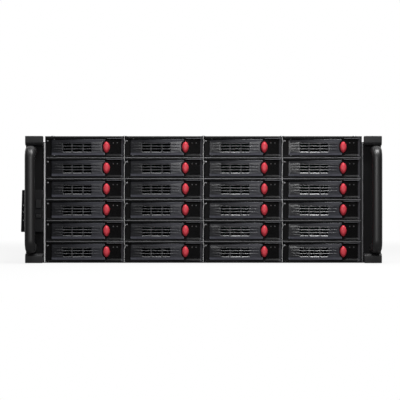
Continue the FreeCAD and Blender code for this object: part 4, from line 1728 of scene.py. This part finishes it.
@dataclass
class CageFront:
    """Trims beside the cage, spring strips on its dividers and folds under its shelves."""

    trim_outer: float = 216.8
    trim_low: float = 1.0
    trim_high: float = 163.0
    trim_depths: Point = (-4.9, -2.4)
    strip_low: float = 1.3
    strip_half: float = 0.36
    strip_depths: Point = (-4.8, -3.95)
    strip_sway: float = 0.7
    strip_steps: int = 16
    kink_at: float = 0.75
    kink_width: float = 0.09
    kink_gain: float = 1.5
    kink_rest: float = 0.5
    fold_half: float = 52.4
    fold_drop: float = 3.2
    fold_depths: Point = (20.0, 21.0)
    shelf_under: float = 0.3
    shelf_sunk: float = 0.1

    def wall_trim(self, word: str, side: int, width: float, finish: Finish) -> None:
        """Set the trim beside one of the walls.

        Args:
            word: left or right, for its name.
            side: -1 at the left, 1 at the right.
            width: width of the trim.
            finish: its finish.
        """
        trim = Skin()
        left, right = sorted((side * self.trim_outer, side * (self.trim_outer - width)))
        outline = Outline.rounded(left, self.trim_low, right, self.trim_high, radius=0.6, steps=3)
        trim.prism(outline, *self.trim_depths, edge=0.5)
        set_skin(f"{word}_wall_trim", trim, finish)

    def guide_strip(self, skin: Skin, across: float) -> None:
        """Spring strip on a divider's front edge that kinks to the right beside each tray's catch.

        Args:
            skin: the skin that it is drawn in.
            across: the divider's middle.
        """
        front, back = self.strip_depths
        rings = []
        for step in range(ROWS * self.strip_steps + 1):
            share = step % self.strip_steps / self.strip_steps
            kink = math.exp(-((share - self.kink_at) / self.kink_width) ** 2)
            middle = across + self.strip_sway * (self.kink_gain * kink - self.kink_rest)
            up = self.strip_low + ROW_PITCH * step / self.strip_steps
            section = Outline.rounded(middle - self.strip_half, front, middle + self.strip_half, back,
                                      radius=0.2, steps=2)
            rings.append(skin.ring(section, up, Plane.TOP))
        skin.loft(rings)

    def dress(self) -> None:
        """Set the trims, the strips and the folds."""
        # The left trim carries a painted highlight on its front faces.
        self.wall_trim("left", side=-1, width=2.2, finish=CAGE_HIGHLIT)
        self.wall_trim("right", side=1, width=1.4, finish=SHELF_STEEL)
        strips, folds = Skin(), Skin()
        for divider in range(1, COLUMNS):
            self.guide_strip(strips, (divider - COLUMNS / 2) * COLUMN_PITCH)
        # The strips carry a painted highlight on their front faces.
        set_skin("guide_strips", strips, CAGE_HIGHLIT)
        for shelf in range(1, ROWS):
            under = ROW_PITCH * shelf + self.shelf_under
            for column in range(COLUMNS):
                across = (column - (COLUMNS - 1) / 2) * COLUMN_PITCH
                fold = Outline.rounded(across - self.fold_half, under - self.fold_drop,
                                       across + self.fold_half, under + self.shelf_sunk, radius=0.4, steps=2)
                folds.prism(fold, *self.fold_depths, edge=0.2, back_edge=0.2)
        set_skin("shelf_folds", folds, SHELF_STEEL)


@dataclass
class RearPanel:
    """Frames, hooded vents, rivets and screws of the rear panel.

    The hood's section has distances out of the panel and rises above the slot's upper edge.
    """

    supply_frame: Points = ((115.2, 9.2), (206.8, 9.2), (206.8, 162.4), (204.2, 162.4), (204.2, 11.8),
                            (117.8, 11.8), (117.8, 162.4), (115.2, 162.4))
    port_box: Box = (-58.2, 11.8, 100.95, 56.65)
    port_width: float = 3.0
    sunk: float = 0.1
    vent_places: Places = (-18.0, 66.0)
    vent_low: float = 84.0
    vent_pitch: float = 12.0
    vent_count: int = 6
    hood_half: float = 33.0
    hood: Points = ((-0.1, 1.5), (1.5, 1.1), (2.7, -0.6), (3.1, -2.8), (2.3, -2.8), (1.9, -0.9), (1.0, 0.3),
                    (-0.1, 0.5))
    rivet: Points = ((2.2, -0.1), (2.2, 0.3), (1.7, 0.8), (0.9, 1.0))
    rivet_reach: int = 200
    rivet_pitch: int = 50
    rivet_up: float = 5.0
    supply_screws: Places = (110.5, 210.0)
    supply_heights: Places = (24.0, 150.0)
    supply_screw: ScrewHead = ScrewHead(radius=2.8)
    slots: int = 7
    slot_first: float = -196.0
    slot_pitch: float = 20.32
    slot_along: float = 640.0
    slot_screw: ScrewHead = ScrewHead(radius=3.2)

    def vent_hood(self, skin: Skin, middle: float, top: float, face: float) -> None:
        """A pressed hood over the upper half of a vent slot.

        Args:
            skin: the skin that it is drawn in.
            middle: middle of the slot.
            top: upper edge of the slot.
            face: depth of the panel's outer face.
        """
        section = Outline(tuple((face + out, top + rise) for out, rise in self.hood))
        skin.prism(section, middle - self.hood_half, middle + self.hood_half, plane=Plane.SIDE)

    def dress(self) -> None:
        """Set the pressed frames, hoods and rivets as one piece, and the screws as another."""
        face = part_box("rear_panel")[1].y / MM
        fittings, screws = Skin(), Skin()
        fittings.prism(Outline.filleted(self.supply_frame, radius=0.6, steps=3), face + PRESSED_RISE,
                       face - self.sunk, edge=0.5)
        pressed_frame(fittings, self.port_box, self.port_width, face, 1, Plane.FRONT)
        for middle in self.vent_places:
            for step in range(self.vent_count):
                self.vent_hood(fittings, middle, self.vent_low + self.vent_pitch * step, face)
        for across in range(-self.rivet_reach, self.rivet_reach + 1, self.rivet_pitch):
            fittings.turned(self.rivet, across, self.rivet_up, Plane.FRONT, face, sides=16)
        set_skin("rear_panel_fittings", fittings, CASE_BLACK)
        for across in self.supply_screws:
            for up in self.supply_heights:
                self.supply_screw.draw(screws, across, up, face, 1, Plane.FRONT)
        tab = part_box("slot_covers")[1].z / MM
        for slot in range(self.slots):
            across = self.slot_first + self.slot_pitch * slot
            self.slot_screw.draw(screws, across, self.slot_along, tab, 1, Plane.TOP)
        set_skin("rear_screws", screws, CAGE_STEEL)


@dataclass
class Chassis:
    """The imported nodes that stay, with their finishes, and the fixings and pressed frames of the sheets.

    Rivets and thumb screws have radii and rises, spans run along the case.
    """

    half: float = 215.0
    top: float = 172.0
    cover_screw_rows: Places = (14.0, 202.0)
    cover_screw_places: Places = (-206.0, -COLUMN_PITCH, 0.0, COLUMN_PITCH, 206.0)
    cover_screw: ScrewHead = ScrewHead(radius=2.8)
    rivet: Points = ((2.4, -0.1), (2.4, 0.3), (1.9, 0.9), (1.0, 1.2))
    rivet_places: Places = (60.0, 150.0, 240.0, 420.0, 600.0)
    rivet_heights: Places = (20.0, 86.0, 150.0)
    thumb_places: Places = (-190.0, 0.0, 190.0)
    thumb_up: float = 167.4
    thumb_neck: Points = ((2.4, -0.2), (2.4, 1.8))
    thumb_radius: float = 4.4
    thumb_low: float = 1.6
    thumb_high: float = 8.0
    knurl: float = 0.25
    knurl_sides: int = 48
    frame_width: float = 9.0
    frame_half: float = 185.0
    lid_gap: float = 20.0
    lid_span: Point = (255.0, 596.0)
    cover_span: Point = (42.0, 174.0)
    wall_spans: Points = ((84.0, 318.0), (354.0, 588.0))
    wall_low: float = 38.0
    wall_high: float = 134.0
    grip_across: float = 150.0
    grip_first: float = 617.0
    grip_pitch: float = 6.0
    grip_count: int = 4
    grip_rise: float = 1.0
    grip_sunk: float = 0.1

    def finish_node(self, name: str, finish: Finish, edge: float = 0.0) -> None:
        """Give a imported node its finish.

        Args:
            name: the node's name.
            finish: its finish.
            edge: width of its softened edges in millimetres, or 0 for none.
        """
        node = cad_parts[name]
        if not node.material_slots:
            node.data.materials.append(finish.material())
        for slot in node.material_slots:
            slot.material = finish.material()
        if edge:
            node.modifiers.new("joined_faces", "WELD").merge_threshold = 1e-6
            soft = node.modifiers.new("soft_edges", "BEVEL")
            soft.width = edge * MM
            soft.segments = 2
            soft.limit_method = "ANGLE"
            soft.angle_limit = math.radians(35)
            soft.harden_normals = True
        LOG.info("node %s finished as %s", name, finish.name)

    def dress(self) -> None:
        """Finish every node that stays and set the fixings."""
        for name in ("base_pan", "front_cover", "rear_lid", "rear_panel"):
            self.finish_node(name, CASE_BLACK)
        for name in ("slot_covers", "fan_wall"):
            self.finish_node(name, CAGE_STEEL)
        # The dividers' front faces carry painted shade.
        self.finish_node("cage_dividers", DIVIDER_SHADED)
        self.finish_node("tray_shelves", SHELF_STEEL)
        self.finish_node("backplanes", BOARD_GREEN)
        self.finish_node("fan_frames", FAN_BLACK, edge=0.8)
        self.finish_node("board_standoffs", POST_BRASS)
        self.cover_screws()
        CageFront().dress()
        self.wall_rivets()
        self.thumb_screws()
        self.embossing()
        RearPanel().dress()

    def cover_screws(self) -> None:
        """Set the screws in the front cover."""
        screws = Skin()
        for along in self.cover_screw_rows:
            for across in self.cover_screw_places:
                self.cover_screw.draw(screws, across, along, self.top, 1, Plane.TOP)
        set_skin("cover_screws", screws, CAGE_STEEL)

    def wall_rivets(self) -> None:
        """Set the rivets in both side walls."""
        rivets = Skin()
        for side in (-1, 1):
            for along in self.rivet_places:
                for up in self.rivet_heights:
                    rivets.turned(self.rivet, along, up, Plane.SIDE, side * self.half, side, sides=16)
        set_skin("wall_rivets", rivets, CASE_BLACK)

    def thumb_screws(self) -> None:
        """Set the knurled thumb screws in the lid's flange."""
        thumbs = Skin()
        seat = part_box("rear_lid")[1].y / MM
        spokes = arc(0.0, 0.0, 1.0, 0, 360, self.knurl_sides)[:-1]
        for across in self.thumb_places:
            thumbs.turned(self.thumb_neck, across, self.thumb_up, Plane.FRONT, seat)
            head = []
            for index, (first, second) in enumerate(spokes):
                reach = self.thumb_radius - self.knurl * (index % 2)
                head.append((across + first * reach, self.thumb_up + second * reach))
            thumbs.prism(Outline(tuple(head)), seat + self.thumb_high, seat + self.thumb_low, edge=0.6,
                         back_edge=0.4)
        set_skin("lid_thumb_screws", thumbs, CAGE_STEEL, "lid")

    def embossing(self) -> None:
        """Set the pressed frames of covers and side walls, and the grip ribs at the lid's rear corners."""
        lid, cover, walls, width = Skin(), Skin(), Skin(), self.frame_width
        for side in (-1, 1):
            left, right = sorted((side * self.lid_gap, side * self.frame_half))
            box = (left, self.lid_span[0], right, self.lid_span[1])
            pressed_frame(lid, box, width, self.top, 1, Plane.TOP)
            for step in range(self.grip_count):
                along = self.grip_first + self.grip_pitch * step
                grip = Outline.pill(side * self.grip_across, along, radius=1.7, straight=18.0)
                lid.prism(grip, self.top + self.grip_rise, self.top - self.grip_sunk, edge=0.8,
                          plane=Plane.TOP)
            for first, last in self.wall_spans:
                box = (first, self.wall_low, last, self.wall_high)
                pressed_frame(walls, box, width, side * self.half, side, Plane.SIDE)
        box = (-self.frame_half, self.cover_span[0], self.frame_half, self.cover_span[1])
        pressed_frame(cover, box, width, self.top, 1, Plane.TOP)
        set_skin("lid_embossing", lid, CASE_BLACK, "lid")
        set_skin("cover_embossing", cover, CASE_BLACK)
        set_skin("wall_embossing", walls, CASE_BLACK)


# Studio

@dataclass
class Studio:
    """White floor and surroundings, soft overhead light and the camera of the photograph, in metres."""

    distance: float = 2.4
    shown_width: float = 0.4826
    shown_pixels: float = 357.0
    picture_pixels: float = 400.0
    shift_pixels: Point = (3.5, 0.5)
    middle_up: float = 0.086
    front: float = -0.0145
    floor_reach: float = 6.0
    floor_drop: float = 0.0005
    floor_tone: float = 0.9
    floor_middle: Colour = (0.0, 0.3, 0.0)
    shadow_span: Point = (0.45, 1.2)
    shadow_share: float = 0.15
    beyond_span: Point = (0.0, 0.25)
    behind_span: Point = (0.15, 0.75)
    around: float = 0.22
    ahead: float = 0.05
    bounce: float = 0.15
    mirrored: float = 0.6

    def floor(self) -> None:
        """A pale floor: white to the camera but for the shadow, pale in reflections behind the front."""
        mesh = bpy.data.meshes.new("floor")
        reach = self.floor_reach
        corners = [(-reach, -reach, 0.0), (reach, -reach, 0.0), (reach, reach, 0.0), (-reach, reach, 0.0)]
        mesh.from_pydata(corners, [], [(0, 1, 2, 3)])
        paint = Paint("pale_floor")
        seen = paint.ray("Is Camera Ray")
        pale = paint.between(seen, (self.bounce,) * 3, (self.floor_tone,) * 3)
        paint.set({"Base Color": pale, "Roughness": 0.9, "Specular IOR Level": 0.1})
        glow = paint.node("ShaderNodeEmission", {}, {"Color": (1.0, 1.0, 1.0, 1.0), "Strength": 1.0})
        lit = Signal(paint, paint.shader.outputs[0])
        places = {0: paint.where(), 1: self.floor_middle}
        apart = paint.node("ShaderNodeVectorMath", {"operation": "DISTANCE"}, places, "Value")
        share = (1.0 - self.shadow_share) + apart.eased(*self.shadow_span) * self.shadow_share
        beyond = paint.axis("Y").eased(*self.beyond_span) * self.mirrored
        white = seen * share + paint.ray("Is Glossy Ray") * beyond
        blended = paint.node("ShaderNodeMixShader", {}, {0: white, 1: lit, 2: glow})
        paint.feed(paint.tree.nodes["Material Output"].inputs["Surface"], blended)
        mesh.materials.append(paint.material)
        item = placed("floor", mesh, (0.0, 0.0, -self.floor_drop))

    def surroundings(self) -> None:
        """White all round for the eye, white behind and dim in front for reflections, dimmer as a light."""
        world = bpy.data.worlds.new("surroundings")
        world.use_nodes = True
        bpy.context.scene.world = world
        graph = Graph(world.node_tree)
        seen = graph.ray("Is Camera Ray")
        sharp = graph.ray("Is Glossy Ray").larger(graph.ray("Is Transmission Ray"))
        aim = graph.node("ShaderNodeTexCoord", {}, {}, "Generated")
        behind = graph.node("ShaderNodeSeparateXYZ", {}, {0: aim}, "Y").eased(*self.behind_span)
        mirrored = sharp * (behind * (1.0 - self.ahead) + self.ahead)
        soft = (1 - sharp) * self.around
        sky = world.node_tree.nodes["Background"]
        graph.feed(sky.inputs["Color"], (1.0, 1.0, 1.0, 1.0))
        graph.feed(sky.inputs["Strength"], seen + (1 - seen) * (mirrored + soft))

    def lamp(self, name: str, place: Sequence[float], aim: Sequence[float], size: Point,
             power: float) -> None:
        """A soft rectangular lamp.

        Args:
            name: the lamp's name.
            place, aim: where it stands and where it points, in metres.
            size: its width and height in metres.
            power: its power in watts.
        """
        light = bpy.data.lights.new(name, "AREA")
        light.shape = "RECTANGLE"
        light.size, light.size_y = size
        light.energy = power
        item = placed(name, light, place)
        item.rotation_euler = (Vector(aim) - Vector(place)).to_track_quat("-Z", "Y").to_euler()
        item.visible_camera = False

    def camera(self) -> None:
        """A long lens straight in front, framed as in the photograph."""
        lens = bpy.data.cameras.new("camera")
        scale = self.shown_pixels / self.shown_width
        lens.lens = lens.sensor_width * scale * self.distance / self.picture_pixels
        lens.shift_x = -self.shift_pixels[0] / self.picture_pixels
        lens.shift_y = -self.shift_pixels[1] / self.picture_pixels
        item = placed("camera", lens, (0.0, self.front - self.distance, self.middle_up))
        item.rotation_euler = (math.radians(90), 0.0, 0.0)
        bpy.context.scene.camera = item

    def build(self) -> None:
        """Set up floor, surroundings, lamps and camera."""
        bpy.context.scene.view_settings.view_transform = "Standard"
        self.floor()
        self.surroundings()
        self.lamp("overhead_right", (0.28, -0.42, 1.2), aim=(0.2, 0.05, 0.08), size=(0.56, 0.16), power=12.0)
        self.lamp("overhead_left", (-0.3, -0.42, 1.2), aim=(-0.2, 0.05, 0.08), size=(0.56, 0.16), power=2.6)
        self.lamp("front_soft", (0.03, -0.95, 0.27), aim=(0.0, 0.0, 0.09), size=(0.3, 0.16), power=1.75)
        self.camera()


def main() -> None:
    """Build every sub-assembly in order, then the studio."""
    logging.basicConfig(level=logging.INFO, format="%(name)s: %(message)s")
    Chassis().dress()
    for side in (-1, 1):
        RackEar(side).dress()
    GrabHandle().dress()
    ControlModule().dress()
    for number in (1, 2, 3):
        CaseFan(number).dress()
    tray = DriveTray()
    for row in range(1, ROWS + 1):
        for column in range(1, COLUMNS + 1):
            tray.dress(row, column)
    Studio().build()


if __name__ == "__main__":
    main()
